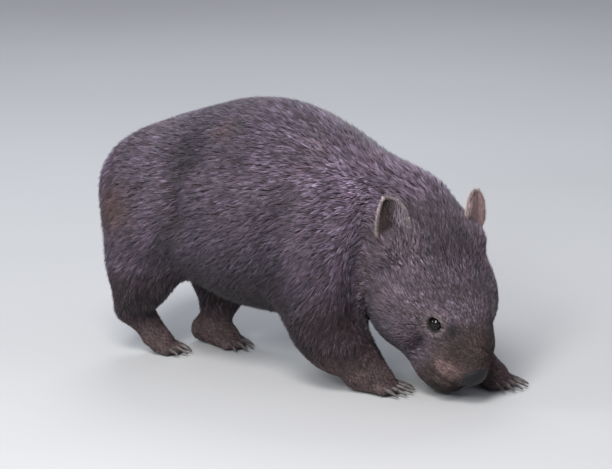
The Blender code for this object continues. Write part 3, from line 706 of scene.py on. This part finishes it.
class Place:
    """What the coat is like at some points of the skin."""

    def __init__(self, p, n, slot):
        self.p, self.n = p, n
        q = self.q = in_head(p)
        hf = head_form(p)
        self.head = ramp(-55, -5, q[:, 0]) * ramp(16, 4, hf)
        self.ear = slot == 1
        self.foot = ramp(46, 24, p[:, 2]) * (1 - self.head)
        self.leg = ramp(100, 62, p[:, 2]) * (1 - self.head)
        self.eye = eye_distance(q)
        self.nose = nose_distance(q)
        self.muzzle = ramp(84, 112, q[:, 0]) * self.head
        self.face = ramp(20, 84, q[:, 0]) * self.head
        u, v, front = ear_place(q)
        self.ear_u, self.ear_v, self.ear_front = u, v, np.where(self.ear, front, 0.0)
        self.tufted = ramp(18, 8, np.abs(u) * 30) * ramp(24, 10, np.abs(front)) * ramp(1.3, 0.9, np.abs(v)) * self.head * ~self.ear * (q[:, 1] < 0)
        y = np.abs(q[:, 1])
        m = np.stack([q[:, 0], y, q[:, 2]], 1)
        self.mouth = from_line(m, FACE_CREASES[0][0])

    def density(self):
        """Tufts on a square mm."""
        d = 0.98 + 0.14 * self.leg + 0.33 * self.head + 0.7 * self.face + 0.9 * self.muzzle + 0.6 * self.foot
        d = np.where(self.ear, 1.6, d)
        d = d * ramp(7.4, 9.2, self.eye) * ramp(-0.4, 0.7, self.nose) * (1 - 0.85 * ramp(2.6, 1.2, self.mouth) * (self.head > 0.5))
        sole = (self.p[:, 2] < 2.2) | ((self.n[:, 2] < -0.6) & (self.p[:, 2] < 16))
        inner_ear = self.ear & (self.ear_front > 0) & (np.abs(self.ear_v) < 0.8)
        d = np.where(inner_ear, 0.3 + 0.9 * ramp(0.1, 0.45, self.ear_v) * ramp(0.85, 0.5, self.ear_u), d)
        sunk = self.ear & (self.ear_u < -0.05)
        return np.where(sole | sunk, 0, d)

    def length(self):
        L = 10.2 - 2.2 * self.leg - 2.1 * self.head - 3.4 * self.face - 1.2 * self.muzzle - 4.2 * self.foot + 1.6 * self.tufted
        L = np.minimum(L, 2.6 + 0.34 * np.maximum(self.eye - 7, 0))
        L = np.where(self.head > 0.5, np.minimum(L, 1.5 + 0.22 * np.maximum(self.nose, 0)), L)
        rim = np.abs(self.ear_v) > 0.8
        hairy = 3.5 + 5.0 * ramp(0.1, 0.5, self.ear_v)
        L = np.where(self.ear, np.where(rim, 4.0, np.where(self.ear_front > 0, hairy, 4.2)), L)
        return np.maximum(L, 1.4)

    def width(self):
        w = 0.92 - 0.1 * self.leg - 0.12 * self.head - 0.2 * self.face - 0.08 * self.muzzle - 0.2 * self.foot
        return np.where(self.ear, 0.5, np.maximum(w, 0.5))

    def lift(self):
        """How far a tuft stands up from the skin, in degrees."""
        up = 23 - 2 * self.leg - 2 * self.head - 2 * self.face + 14 * self.tufted
        rim = self.ear & (np.abs(self.ear_v) > 0.8)
        return np.where(rim, 24, np.where(self.ear, 14, up))

    def lie(self):
        """Which way the coat lies, along the skin."""
        p, q, n = self.p, self.q, self.n
        hx, hz = HEAD_TURN[:, 0], HEAD_TURN[:, 2]
        down = 0.42 + 0.5 * ramp(150, 90, p[:, 2])
        body = np.stack([-np.ones(len(p)), np.zeros(len(p)), -down], 1)
        rump = ramp(-150, -190, p[:, 0])[:, None]
        body = body * (1 - rump) + np.array([-0.35, 0.0, -1.0]) * rump
        leg = np.array([-0.25, 0.0, -1.0])
        body = body * (1 - self.leg[:, None]) + leg * self.leg[:, None]
        foot = np.array([0.85, 0.0, -0.5])
        body = body * (1 - self.foot[:, None]) + foot * self.foot[:, None]
        side = np.sign(q[:, 1]) * ramp(0, 30, np.abs(q[:, 1]))
        head = -hx + 0.28 * side[:, None] * HEAD_TURN[:, 1] * ramp(40, 90, q[:, 0])[:, None]
        low = ramp(-6, -44, q[:, 2]) * ramp(100, 60, q[:, 0])
        head = head - hz * (0.55 * low)[:, None]
        w = self.head[:, None]
        out = unit(body) * (1 - w) + unit(head) * w
        up, face, inward = ear_axes()
        mirror = np.where(q[:, 1] > 0, 1, -1)[:, None] * np.array([0, 1, 0]) + np.array([1, 0, 1])
        ear = (up + inward * 0.75 * (self.ear_v * (1 - 0.3 * self.ear_u))[:, None]) * mirror
        out = np.where(self.ear[:, None], ear @ HEAD_TURN.T, out)
        out = out - n * (out * n).sum(1)[:, None]
        return unit(out)

    def colours(self, own):
        """Colour at the root, in the middle and at the tip of a tuft, painted light and shade included; own is a number
        from 0 to 1 for each tuft.
        """
        p, q = self.p, self.q

        def mix(a, b, w):
            return a * (1 - w[:, None]) + np.array(b) * w[:, None]

        one = np.ones(len(p))
        patch = 0.5 + 0.5 * noise(p, 46, 7)
        streak = 0.5 + 0.5 * noise(p * (0.6, 1.0, 1.0), 17, 9)
        root = one[:, None] * np.array((0.013, 0.008, 0.009))
        mid = one[:, None] * np.array((0.066, 0.042, 0.05))
        tip = one[:, None] * np.array((0.225, 0.155, 0.222))
        warm = ramp(0.55, 0.95, patch)
        mid = mix(mid, (0.08, 0.05, 0.047), 0.6 * warm)
        tip = mix(tip, (0.23, 0.15, 0.155), 0.5 * warm)
        # Painted shade: the legs and the lower body darker towards the bottom.
        low = np.clip(self.leg + ramp(125, 75, p[:, 2]) * 0.6 * (1 - self.head), 0, 1)
        mid, tip = mix(mid, (0.038, 0.022, 0.023), low), mix(tip, (0.118, 0.071, 0.077), 0.88 * low)
        # Grizzled silver tips, tinted blue as a painted sky reflection, and fewer of them low down, where less light
        # falls.
        silver_and_sky_sheen = ramp(0.5, 0.8, own) * (0.55 + 0.45 * ramp(0.3, 0.7, streak)) * (1 - 0.55 * low) * (1 - self.foot) * (1 - 0.6 * self.tufted)
        tip = mix(tip, (0.62, 0.51, 0.7), silver_and_sky_sheen * (1 - 0.2 * self.face))
        # Painted shade: the top of the back darker.
        top = (1 - 0.24 * ramp(190, 240, p[:, 2]) * (1 - self.head))[:, None]
        mid, tip = mid * top, tip * top
        # rusty markings
        for centre, reach, strength in (((-165, -82, 153), 26, 0.7), ((-47, -62, 237), 14, 0.45), ((-168, 70, 150), 24, 0.5)):
            w = strength * np.exp(-0.5 * (((p - np.array(centre)) / reach) ** 2).sum(1) * 2)
            mid, tip = mix(mid, (0.12, 0.06, 0.034), w), mix(tip, (0.25, 0.135, 0.085), w)
        # Painted light on the shoulders, the neck and the rump; painted shade in the hollows before the hips, under the
        # belly, behind the shoulders and on the tail.
        for centre, reach, gain in (((48, -84, 172), (40, 40, 44), 0.45), ((92, -50, 196), (26, 40, 30), 0.3), ((48, 74, 172), (40, 40, 44), 0.35),
                                    ((-86, -80, 208), (18, 22, 18), -0.45), ((-86, 70, 208), (18, 22, 18), -0.4), ((-30, -60, 66), (44, 50, 22), -0.3), ((-160, -60, 165), (42, 60, 50), 0.3), ((-22, -90, 112), (30, 24, 30), -0.3), ((-22, 80, 112), (30, 24, 30), -0.3), ((-202, -5, 104), (14, 16, 16), -0.4)):
            w = gain * np.exp(-0.5 * (((p - np.array(centre)) / np.array(reach)) ** 2).sum(1)) * (1 - self.head)
            mid, tip = mid * (1 + w[:, None]), tip * (1 + w[:, None])
        # Painted shade along the creases, over the darker underfur that shows in them.
        for line, width, depth in CREASES:
            w = min(0.1 * depth, 0.68) * np.exp(-0.5 * (from_line(p, line) / (width + 2)) ** 2)
            mid, tip = mid * (1 - w[:, None]), tip * (1 - w[:, None])
        w = self.head
        mid, tip = mix(mid, (0.06, 0.041, 0.042), w), mix(tip, (0.19, 0.138, 0.15), 0.7 * w * (1 - silver_and_sky_sheen))
        y = np.abs(q[:, 1])
        crown = w * ramp(-8, 12, q[:, 2]) * ramp(96, 60, q[:, 0]) * ramp(44, 20, y)
        mid, tip = mid * (1 - 0.3 * crown[:, None]), tip * (1 - 0.34 * crown[:, None])
        # Painted highlight on the forehead, and painted light below the cheek that lifts the shade of the dip there;
        # the other entries darken the coat between the ears and lighten it beside the ears and low on the cheeks.
        for centre, reach, gain in (((22, 0, 24), (14, 26, 16), -0.3), ((44, 12, 22), (10, 12, 12), 0.25), ((12, 30, 22), (12, 10, 12), 0.35),
                                    ((30, 52, -12), (20, 12, 20), 0.25), ((86, 36, -44), (12, 10, 10), 0.6)):
            d = (np.stack([q[:, 0], y, q[:, 2]], 1) - np.array(centre)) / np.array(reach)
            g = gain * np.exp(-0.5 * (d * d).sum(1)) * w
            mid, tip = mid * (1 + g[:, None]), tip * (1 + g[:, None])
        w = self.muzzle
        root, mid, tip = mix(root, (0.022, 0.014, 0.013), w), mix(mid, (0.038, 0.023, 0.021), w), mix(tip, (0.105, 0.065, 0.06), w)
        # Painted shade in the hollow in front of the eye.
        d = (np.stack([q[:, 0], y, q[:, 2]], 1) - np.array((97.5, 20.5, 2.5))) / np.array((5.5, 5.0, 6.0))
        g = (1 - 0.88 * np.exp(-0.5 * (d * d).sum(1)) * (self.head > 0.5))[:, None]
        root, mid, tip = root * g, mid * g, tip * g
        spot = np.stack([q[:, 0], y, q[:, 2]], 1) - np.array((118.0, 24.0, -24.5))
        lip = np.exp(-0.5 * ((spot / np.array((9.0, 8.0, 6.5))) ** 2).sum(1)) * (self.head > 0.5)
        root, mid, tip = mix(root, (0.07, 0.042, 0.038), lip), mix(mid, (0.17, 0.105, 0.095), lip), mix(tip, (0.3, 0.2, 0.185), lip)
        ring = np.exp(-(((self.eye - 11.4) / 2.1) ** 2)) * (0.45 + 0.55 * ramp(-4, 5, np.abs(q[:, 2] + 7))) * (self.head > 0.5)
        mid, tip = mix(mid, (0.2, 0.152, 0.145), 0.75 * ring), mix(tip, (0.43, 0.35, 0.35), 0.75 * ring)
        dark = ramp(9.8, 8.3, self.eye)
        root, mid, tip = mix(root, (0.01, 0.008, 0.008), dark), mix(mid, (0.025, 0.018, 0.017), dark), mix(tip, (0.05, 0.038, 0.034), dark)
        w = self.foot
        root, mid, tip = mix(root, (0.045, 0.029, 0.028), w), mix(mid, (0.12, 0.078, 0.078), w), mix(tip, (0.27, 0.19, 0.19), w)
        # Painted shade on the underside, where the skin faces down.
        under = ramp(-0.2, -0.8, self.n[:, 2])[:, None] * (1 - self.foot[:, None])
        mid, tip = mid * (1 - 0.4 * under), tip * (1 - 0.5 * under)
        if self.ear.any():
            rim = ramp(0.72, 0.92, np.abs(self.ear_v)) + ramp(0.86, 0.97, self.ear_u)
            rim = np.clip(rim, 0, 1) * self.ear
            back = self.ear * (self.ear_front <= 0)
            inside = self.ear * (self.ear_front > 0)
            left = self.ear * (q[:, 1] > 0)
            root, mid, tip = mix(root, (0.04, 0.03, 0.03), back * 1.0), mix(mid, (0.09, 0.068, 0.07), back * 1.0), mix(tip, (0.24, 0.19, 0.22), back * 1.0)
            hair = inside * ramp(0.0, 0.6, self.ear_v)
            root, mid, tip = mix(root, (0.03, 0.021, 0.021), inside * 1.0), mix(mid, (0.07, 0.052, 0.056), inside * 1.0), mix(mix(tip, (0.1, 0.075, 0.08), inside * 1.0), (0.46, 0.4, 0.48), hair)
            # Painted light: the far, left ear lighter and pinker all over than the near one, and its pale rim runs full
            # length, where the near ear's rim fades low down.
            root, mid, tip = mix(root, (0.14, 0.085, 0.08), left * 0.8), mix(mid, (0.29, 0.185, 0.185), left * 0.8), mix(tip, (0.52, 0.37, 0.38), left * 0.8)
            rim = rim * np.where(left, 1.0, 0.6 + 0.4 * ramp(0.4, 0.9, self.ear_u))
            root, mid, tip = mix(root, (0.12, 0.09, 0.08), rim), mix(mid, (0.27, 0.21, 0.195), rim), mix(tip, (0.56, 0.48, 0.47), rim)
        return root, mid, tip


def skin_colours(place):
    """The skin's colours, from the coat's with their painted light and shade: dark under the coat, bare where no coat
    grows.
    """
    root, mid, tip = place.colours(np.full(len(place.p), 0.4))
    out = root * 0.5 + mid * 0.5
    grain = 1 + 0.25 * noise(place.p, 3.0, 3)[:, None]
    inside = place.ear & (place.ear_front > 0)
    # Painted light and shade inside the ears: the cup's walls lighter than its shaded middle, and the far, left ear
    # much lighter and pinker than the near one.
    wall = 0.9 * ramp(0.1, 0.9, np.abs(place.ear_v))
    pink = np.where(place.q[:, 1] > 0, (1.6 + 0.8 * wall) * (0.4 + 0.6 * ramp(0.0, 0.5, place.ear_u)), 0.15 + 0.6 * wall)
    bare = np.where(inside[:, None], np.array((0.11, 0.07, 0.066)) * pink[:, None], out)
    lid = ramp(9.2, 8.0, place.eye)[:, None]
    bare = bare * (1 - lid) + np.array((0.014, 0.011, 0.011)) * lid
    mouth = (ramp(2.4, 0.8, place.mouth) * (place.head > 0.5))[:, None]
    bare = bare * (1 - mouth) + np.array((0.05, 0.028, 0.025)) * mouth
    nose = (ramp(2.5, 0.5, place.nose) * (place.head > 0.5))[:, None]
    bare = bare * (1 - nose) + np.array((0.014, 0.012, 0.013)) * nose
    sole = ((place.p[:, 2] < 2.5) & (place.n[:, 2] < 0))[:, None]
    bare = np.where(sole, np.array((0.06, 0.045, 0.042)), bare)
    return bare * grain


def coloured(mesh, name, rgb):
    layer = mesh.color_attributes.new(name, "FLOAT_COLOR", "POINT")
    layer.data.foreach_set("color", np.concatenate([rgb, np.ones((len(rgb), 1))], 1).astype(np.float32).ravel())


vertex_slot = np.zeros(len(skin_points), np.int32)
np.maximum.at(vertex_slot, loop_vertex[tri_loops].ravel(), np.repeat(tri_slot, 3))
coloured(mesh, "pelt", skin_colours(Place(skin_points, vertex_normal, vertex_slot)))

tri_place = Place(tri_middle, unit(face_cross), tri_slot)
wanted = tri_area * tri_place.density()
total = int(wanted.sum())
steps = np.cumsum(wanted) / wanted.sum()
picks = np.searchsorted(steps, (np.arange(total) + rng.random(total)) / total).clip(0, len(steps) - 1)
a, b = rng.random(total), rng.random(total)
flip = a + b > 1
a, b = np.where(flip, 1 - a, a), np.where(flip, 1 - b, b)
weights = np.stack([1 - a - b, a, b], 1)
root_at = (corner[picks] * weights[:, :, None]).sum(1)
root_n = unit((vertex_normal[loop_vertex[tri_loops[picks]]] * weights[:, :, None]).sum(1))
root_uv = (skin_uv[tri_loops[picks]] * weights[:, :, None]).sum(1)
place = Place(root_at, root_n, tri_slot[picks])

long, wide, lift, way = place.length(), place.width(), place.lift(), place.lie()
fine = place.head > 0.5
small = fine | (place.foot > 0.4) | place.ear
middle_a, own_a = clumps(root_at, 3.2, 11)
middle_b, own_b = clumps(root_at, 2.1, 31)
middle = np.where(small[:, None], middle_b, middle_a)
own = np.where(small, own_b, own_a)
second = (own * 7919.0) % 1.0

# Directions wander slowly over the body, more from clump to clump and a little from tuft to tuft.
turned = np.radians(13 * noise(root_at, 38, 5) + np.where(small, 11, 14) * (own - 0.5) * 2 + 6 * rng.standard_normal(total))
side = np.cross(root_n, way)
way = unit(way * np.cos(turned)[:, None] + side * np.sin(turned)[:, None])
lift = np.radians(np.clip(lift * (1 + 0.35 * (second - 0.5) * 2) + 5 * rng.standard_normal(total), 4, 60))
guard = rng.random(total) < np.where(place.foot > 0.5, 0.0, np.where(fine, 0.04, 0.08))
guard &= ~place.ear
long = long * (0.82 + 0.36 * rng.random(total)) * np.where(guard, 1.12, 0.94)
wide = wide * (0.8 + 0.4 * rng.random(total))
pull = np.where(small, 0.42, 0.5)
inward = middle - root_at
inward = inward - root_n * (inward * root_n).sum(1)[:, None]
inward = inward * np.minimum(1, 3.5 / np.maximum(np.linalg.norm(inward, axis=1), 1e-6))[:, None]
colour_root, colour_mid, colour_tip = place.colours(0.45 * second + 0.55 * rng.random(total))
mottled = (1 + 0.28 * noise(root_at, 8, 51)) * (1 + 0.17 * noise(root_at, 24, 52))
shade = (np.where(small, 0.44 + 1.1 * own, 0.5 + 1.0 * own) * mottled * (0.62 + 0.76 * rng.random(total)))[:, None]
colour_root, colour_mid, colour_tip = (c * shade for c in (colour_root, colour_mid, colour_tip))

LAYERS = 8
PATCH = 0.003
RING = [(math.cos(a), math.sin(a)) for a in (math.radians(90), math.radians(210), math.radians(330))]


def tuft_mesh(which, name):
    """One layer of the coat: closed spikes, the guard tufts with a bend."""
    r, n, w, s = root_at[which], root_n[which], way[which], None
    L, W, up, tug = long[which], wide[which], lift[which], inward[which] * pull[which][:, None]
    ahead = unit(w * np.cos(up)[:, None] + n * np.sin(up)[:, None])
    s = unit(np.cross(ahead, n))
    top = np.cross(s, ahead)
    base = r - ahead * 0.8
    bent = guard[which]
    low = unit(w * np.cos(up * 0.35)[:, None] + n * np.sin(up * 0.35)[:, None])
    half = base + ahead * (L * 0.52)[:, None] + tug * 0.35
    tip = np.where(bent[:, None], half + low * (L * 0.5)[:, None] + tug * 0.65, base + ahead * L[:, None] + tug)
    count = len(r)
    rings = []
    for at, size in ((base, 1.0), (half, 0.82)):
        rings.append(np.stack([at + (s * c + top * 0.62 * d) * (W * 0.5 * size)[:, None] for c, d in RING], 1))
    straight, curved = np.flatnonzero(~bent), np.flatnonzero(bent)
    ns, nc = len(straight), len(curved)
    verts = np.concatenate([
        np.concatenate([rings[0][straight], tip[straight][:, None]], 1).reshape(-1, 3),
        np.concatenate([rings[0][curved], rings[1][curved], tip[curved][:, None]], 1).reshape(-1, 3),
    ])
    cr, cm, ct = colour_root[which], colour_mid[which], colour_tip[which]
    third = np.repeat
    shades = np.concatenate([
        np.concatenate([third(cr[straight][:, None] * 0.7 + cm[straight][:, None] * 0.3, 3, 1), (cm[straight] * 0.35 + ct[straight] * 0.65)[:, None]], 1).reshape(-1, 3),
        np.concatenate([third(cr[curved][:, None], 3, 1), third(cm[curved][:, None], 3, 1), ct[curved][:, None]], 1).reshape(-1, 3),
    ])
    f4 = np.array([(0, 1, 3), (1, 2, 3), (2, 0, 3), (2, 1, 0)])
    uv4 = np.array([[(k / 3, 0), ((k + 1) / 3, 0), ((k + 0.5) / 3, 1)] for k in range(3)] + [[(1, 0), (0.5, -0.2), (0, 0)]])
    f10, uv10 = [], []
    for k in range(3):
        j = (k + 1) % 3
        f10 += [(k, j, 3 + j), (k, 3 + j, 3 + k), (3 + k, 3 + j, 6)]
        a0, a1 = k / 3, (k + 1) / 3
        uv10 += [[(a0, 0), (a1, 0), (a1, 0.5)], [(a0, 0), (a1, 0.5), (a0, 0.5)], [(a0, 0.5), (a1, 0.5), ((a0 + a1) / 2, 1)]]
    f10.append((2, 1, 0))
    uv10.append([(1, 0), (0.5, -0.2), (0, 0)])
    f10, uv10 = np.array(f10), np.array(uv10)
    faces = np.concatenate([
        (f4[None] + (np.arange(ns) * 4)[:, None, None]).reshape(-1, 3),
        (f10[None] + (ns * 4 + np.arange(nc) * 7)[:, None, None]).reshape(-1, 3),
    ])
    uv_at = root_uv[which] - PATCH / 2
    uv = np.concatenate([
        (uv_at[straight][:, None, None] + uv4[None] * PATCH).reshape(-1, 2),
        (uv_at[curved][:, None, None] + uv10[None] * PATCH).reshape(-1, 2),
    ])
    verts[:, 2] = np.maximum(verts[:, 2], 0.1)
    verts = verts - (CENTRE[0], CENTRE[1], 0)
    mesh = bpy.data.meshes.new(name)
    mesh.vertices.add(len(verts))
    mesh.vertices.foreach_set("co", (verts * MM).astype(np.float32).ravel())
    mesh.loops.add(len(faces) * 3)
    mesh.loops.foreach_set("vertex_index", faces.astype(np.int32).ravel())
    mesh.polygons.add(len(faces))
    mesh.polygons.foreach_set("loop_start", np.arange(0, len(faces) * 3, 3, dtype=np.int32))
    mesh.update(calc_edges=True)
    mesh.polygons.foreach_set("use_smooth", np.ones(len(faces), bool))
    layer = mesh.uv_layers.new(name="OFBake")
    layer.uv.foreach_set("vector", uv.astype(np.float32).ravel())
    coloured(mesh, "pelt", shades)
    return mesh


coat_tone = tone("coat_tone", 0.5, "pelt", 0.3, 0.06)
coat = []
for k in range(LAYERS):
    layer_mesh = tuft_mesh(np.arange(k, total, LAYERS), "coat_%d" % (k + 1))
    piece = object_of(layer_mesh, "coat_%d" % (k + 1))
    piece.data.materials.append(coat_tone)
    coat.append(piece)

# ------------------------------------------------------------------------------------------------ nose, eyes, claws
def star(name, centre, form, detail, reach):
    """A closed surface round a centre, each point as far out as the form lets it go."""
    bm = bmesh.new()
    bmesh.ops.create_icosphere(bm, subdivisions=detail, radius=1)
    made = bpy.data.meshes.new(name)
    bm.to_mesh(made)
    bm.free()
    ways = unit(points_of(made) * MM)
    lo, hi = np.zeros(len(ways)), np.full(len(ways), float(reach))
    for _ in range(22):
        mid = (lo + hi) / 2
        inside = form(centre + ways * mid[:, None]) < 0
        lo, hi = np.where(inside, mid, lo), np.where(inside, hi, mid)
    set_points(made, centre + ways * lo[:, None])
    made.polygons.foreach_set("use_smooth", np.ones(len(made.polygons), bool))
    return object_of(made, name)


NOSE_AT, NOSE_R = np.array((137.0, 0.0, -21.0)), np.array((11.0, 13.2, 9.3))


def nose_form(p):
    q = in_head(p)
    pad = (np.linalg.norm((q - NOSE_AT) / NOSE_R, axis=1) - 1) * 9
    out = -soft_union(-pad, -(head_form(p) - 0.1), 1.6)
    m = np.stack([q[:, 0], np.abs(q[:, 1]), q[:, 2]], 1)
    hole = from_line(m, ((144, 5.0, -21.5), (142, 8.0, -20.0), (139, 11.0, -21.5)))
    out = out + 3.2 * np.exp(-0.5 * (hole / 1.25) ** 2)
    cleft = from_line(m, ((146, 0, -14), (146, 0, -31)))
    return out + 0.7 * np.exp(-0.5 * (cleft / 0.8) ** 2)


def plain_tone(name, colours, roughness, scale, specular=0.5, detail=3.0):
    """A material whose colour runs between a few by noise in object coordinates."""
    m = bpy.data.materials.new(name)
    m.use_nodes = True
    nt = m.node_tree
    shader = nt.nodes["Principled BSDF"]
    where = nt.nodes.new("ShaderNodeTexCoord")
    grain = nt.nodes.new("ShaderNodeTexNoise")
    grain.inputs["Scale"].default_value = scale
    grain.inputs["Detail"].default_value = detail
    blend = nt.nodes.new("ShaderNodeValToRGB")
    blend.color_ramp.elements[0].position, blend.color_ramp.elements[1].position = 0.35, 0.65
    blend.color_ramp.elements[0].color = (*colours[0], 1)
    blend.color_ramp.elements[1].color = (*colours[1], 1)
    nt.links.new(where.outputs["Object"], grain.inputs["Vector"])
    nt.links.new(grain.outputs["Fac"], blend.inputs["Fac"])
    nt.links.new(blend.outputs["Color"], shader.inputs["Base Color"])
    shader.inputs["Roughness"].default_value = roughness
    shader.inputs["Specular IOR Level"].default_value = specular
    return m


nose = star("nose_pad", from_head((133.0, 0, -22)), nose_form, 6, 30)
nose_tone = bumped(plain_tone("nose_tone", ((0.007, 0.0065, 0.0075), (0.016, 0.015, 0.018)), 0.5, 500, 0.25), 1500, 0.6, 0.0005, "VORONOI")
nose.data.materials.append(nose_tone)

eye_tone = plain_tone("eye_tone", ((0.0012, 0.0008, 0.0008), (0.006, 0.003, 0.0018)), 0.05, 260, 0.34)
eyeballs = []
for side, word in ((1, "left"), (-1, "right")):
    at = np.array(EYE_AT) * (1, side, 1)
    ahead = eye_axes(side)[0]

    def ball_form(p, at=at, ahead=ahead):
        r = in_head(p) - at
        cornea = np.linalg.norm(r - ahead * 1.6, axis=1) - (EYE_R - 1.2)
        return soft_union(np.linalg.norm(r, axis=1) - (EYE_R - 0.15), cornea, 1.0)

    eyeball = star("eyeball_" + word, from_head(at), ball_form, 5, 12)
    eyeball.data.materials.append(eye_tone)
    eyeballs.append(eyeball)

CLAW_LONG = {"paw": 13.0, "foot": 9.5}
claw_tone = bumped(plain_tone("claw_tone", ((0.035, 0.029, 0.027), (0.12, 0.1, 0.095)), 0.42, 220, 0.35), 700, 0.25, 0.0003)
claws = {}
for foot in FEET:
    size = CLAW_LONG[foot.split("_")[0]]
    r = FEET[foot]["toes"]["r"]
    for number, (a, b, heading) in enumerate(TOES[foot]):
        ahead, left = np.array([math.cos(heading), math.sin(heading), 0]), np.array([-math.sin(heading), math.cos(heading), 0])
        rings = []
        for step in range(12):
            t = step / 11
            drop = -1.2 * t - 3.4 * t * t
            centre = b + ahead * (r - 5.0 + (size + 4.0) * t) + np.array([0, 0, 2.3 + drop])
            thick = 2.35 * (1 - 0.62 * t**1.5) * (1 if t < 0.95 else 0.72)
            lean = math.atan2(1.2 + 6.8 * t, size + 4)
            up = np.array([0, 0, 1]) * math.cos(lean) + ahead * math.sin(lean)
            rings.append([centre + thick * ((0.78 - 0.1 * math.sin(w)) * math.cos(w) * left + math.sin(w) * up) for w in (2 * math.pi * k / 14 for k in range(14))])
        bm = bmesh.new()
        rows = [[bm.verts.new(Vector(p) * MM) for p in ring] for ring in rings]
        for one, two in zip(rows, rows[1:]):
            for i in range(14):
                bm.faces.new((one[i], one[(i + 1) % 14], two[(i + 1) % 14], two[i]))
        for row, out in ((rows[0], -0.2), (rows[-1], 0.8)):
            tip = bm.verts.new(sum((v.co for v in row), Vector()) / 14 + Vector(ahead) * out * MM)
            for i in range(14):
                bm.faces.new((row[i], row[(i + 1) % 14], tip))
        bmesh.ops.recalc_face_normals(bm, faces=bm.faces)
        node = "claw_%s_%d" % (foot.replace("paw_", "").replace("foot_", ""), number + 1)
        made = bpy.data.meshes.new(node + "_horn")
        bm.to_mesh(made)
        bm.free()
        made.polygons.foreach_set("use_smooth", np.ones(len(made.polygons), bool))
        claw = object_of(made, node + "_horn")
        claw.data.materials.append(claw_tone)
        claws[node] = claw

skin.data.polygons.foreach_set("use_smooth", np.ones(len(skin.data.polygons), bool))
for obj in [skin, nose, *eyeballs, *claws.values()]:
    p = points_of(obj.data)
    set_points(obj.data, p - (CENTRE[0], CENTRE[1], 0))

flesh = ["trunk", "neck", "head", "tail", "leg_front_right", "leg_front_left", "leg_hind_right", "leg_hind_left", "foot_hind_right",
         "foot_hind_left", "paw_front_right", "paw_front_left", "ear_right", "ear_left"]
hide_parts(*flesh)
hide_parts("nose")
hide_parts("eye_left")
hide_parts("eye_right")
for node, claw in claws.items():
    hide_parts(node)
for obj in [skin, *coat, nose, *eyeballs, *claws.values()]:
    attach(obj, "root")

# ------------------------------------------------------------------------------------------------ stage, light, camera
floor_mesh = bpy.data.meshes.new("floor")
floor_mesh.from_pydata([(-14, -14, 0), (14, -14, 0), (14, 14, 0), (-14, 14, 0)], [], [(0, 1, 2, 3)])
floor = object_of(floor_mesh, "floor")
floor.data.materials.append(plain_tone("floor_tone", ((0.47, 0.47, 0.46), (0.5, 0.5, 0.49)), 0.8, 1.2, 0.2))


def lamp(name, at, aim, size, power, colour):
    data = bpy.data.lights.new(name, "AREA")
    data.shape, data.size, data.energy, data.color = "DISK", size, power, colour
    obj = bpy.data.objects.new(name, data)
    bpy.context.scene.collection.objects.link(obj)
    obj.location = at
    obj.rotation_mode = "QUATERNION"
    obj.rotation_quaternion = (Vector(aim) - Vector(at)).to_track_quat("-Z", "Y")
    return obj


lamp("key", (0.45, -1.45, 2.0), (0, 0, 0.12), 1.0, 48, (1.0, 0.975, 0.98))
lamp("rim", (-0.9, 1.3, 1.7), (0, 0, 0.15), 1.1, 16, (0.86, 0.93, 1.0))
lamp("catch", (0.4, -2.3, 1.5), (0.17, 0, 0.08), 0.7, 42, (0.93, 0.96, 1.0))
lamp("fill", (-1.9, -1.3, 1.1), (-0.1, 0, 0.14), 0.9, 13, (0.84, 0.9, 1.0))
world = bpy.data.worlds.new("sky")
bpy.context.scene.world = world
world.use_nodes = True
world.node_tree.nodes["Background"].inputs["Color"].default_value = (0.84, 0.86, 1.0, 1)
world.node_tree.nodes["Background"].inputs["Strength"].default_value = 0.44

# The camera stands at azimuth 32 and elevation 13 degrees, 2.6 m from the model's middle.
azimuth, elevation, away = math.radians(32), math.radians(13), 2.6
back = Vector((math.sin(azimuth) * math.cos(elevation), -math.cos(azimuth) * math.cos(elevation), math.sin(elevation)))
camera = bpy.data.objects.new("camera", bpy.data.cameras.new("camera"))
bpy.context.scene.collection.objects.link(camera)
camera.data.sensor_width, camera.data.lens = 36.0, 160.588
camera.location = Vector((-CENTRE[0] * MM, -CENTRE[1] * MM, 0.13)) + back * away
camera.rotation_mode = "QUATERNION"
camera.rotation_quaternion = (-back).to_track_quat("-Z", "Y")
bpy.context.scene.camera = camera
bpy.context.scene.view_settings.view_transform = "Standard"

bpy.context.view_layer.update()
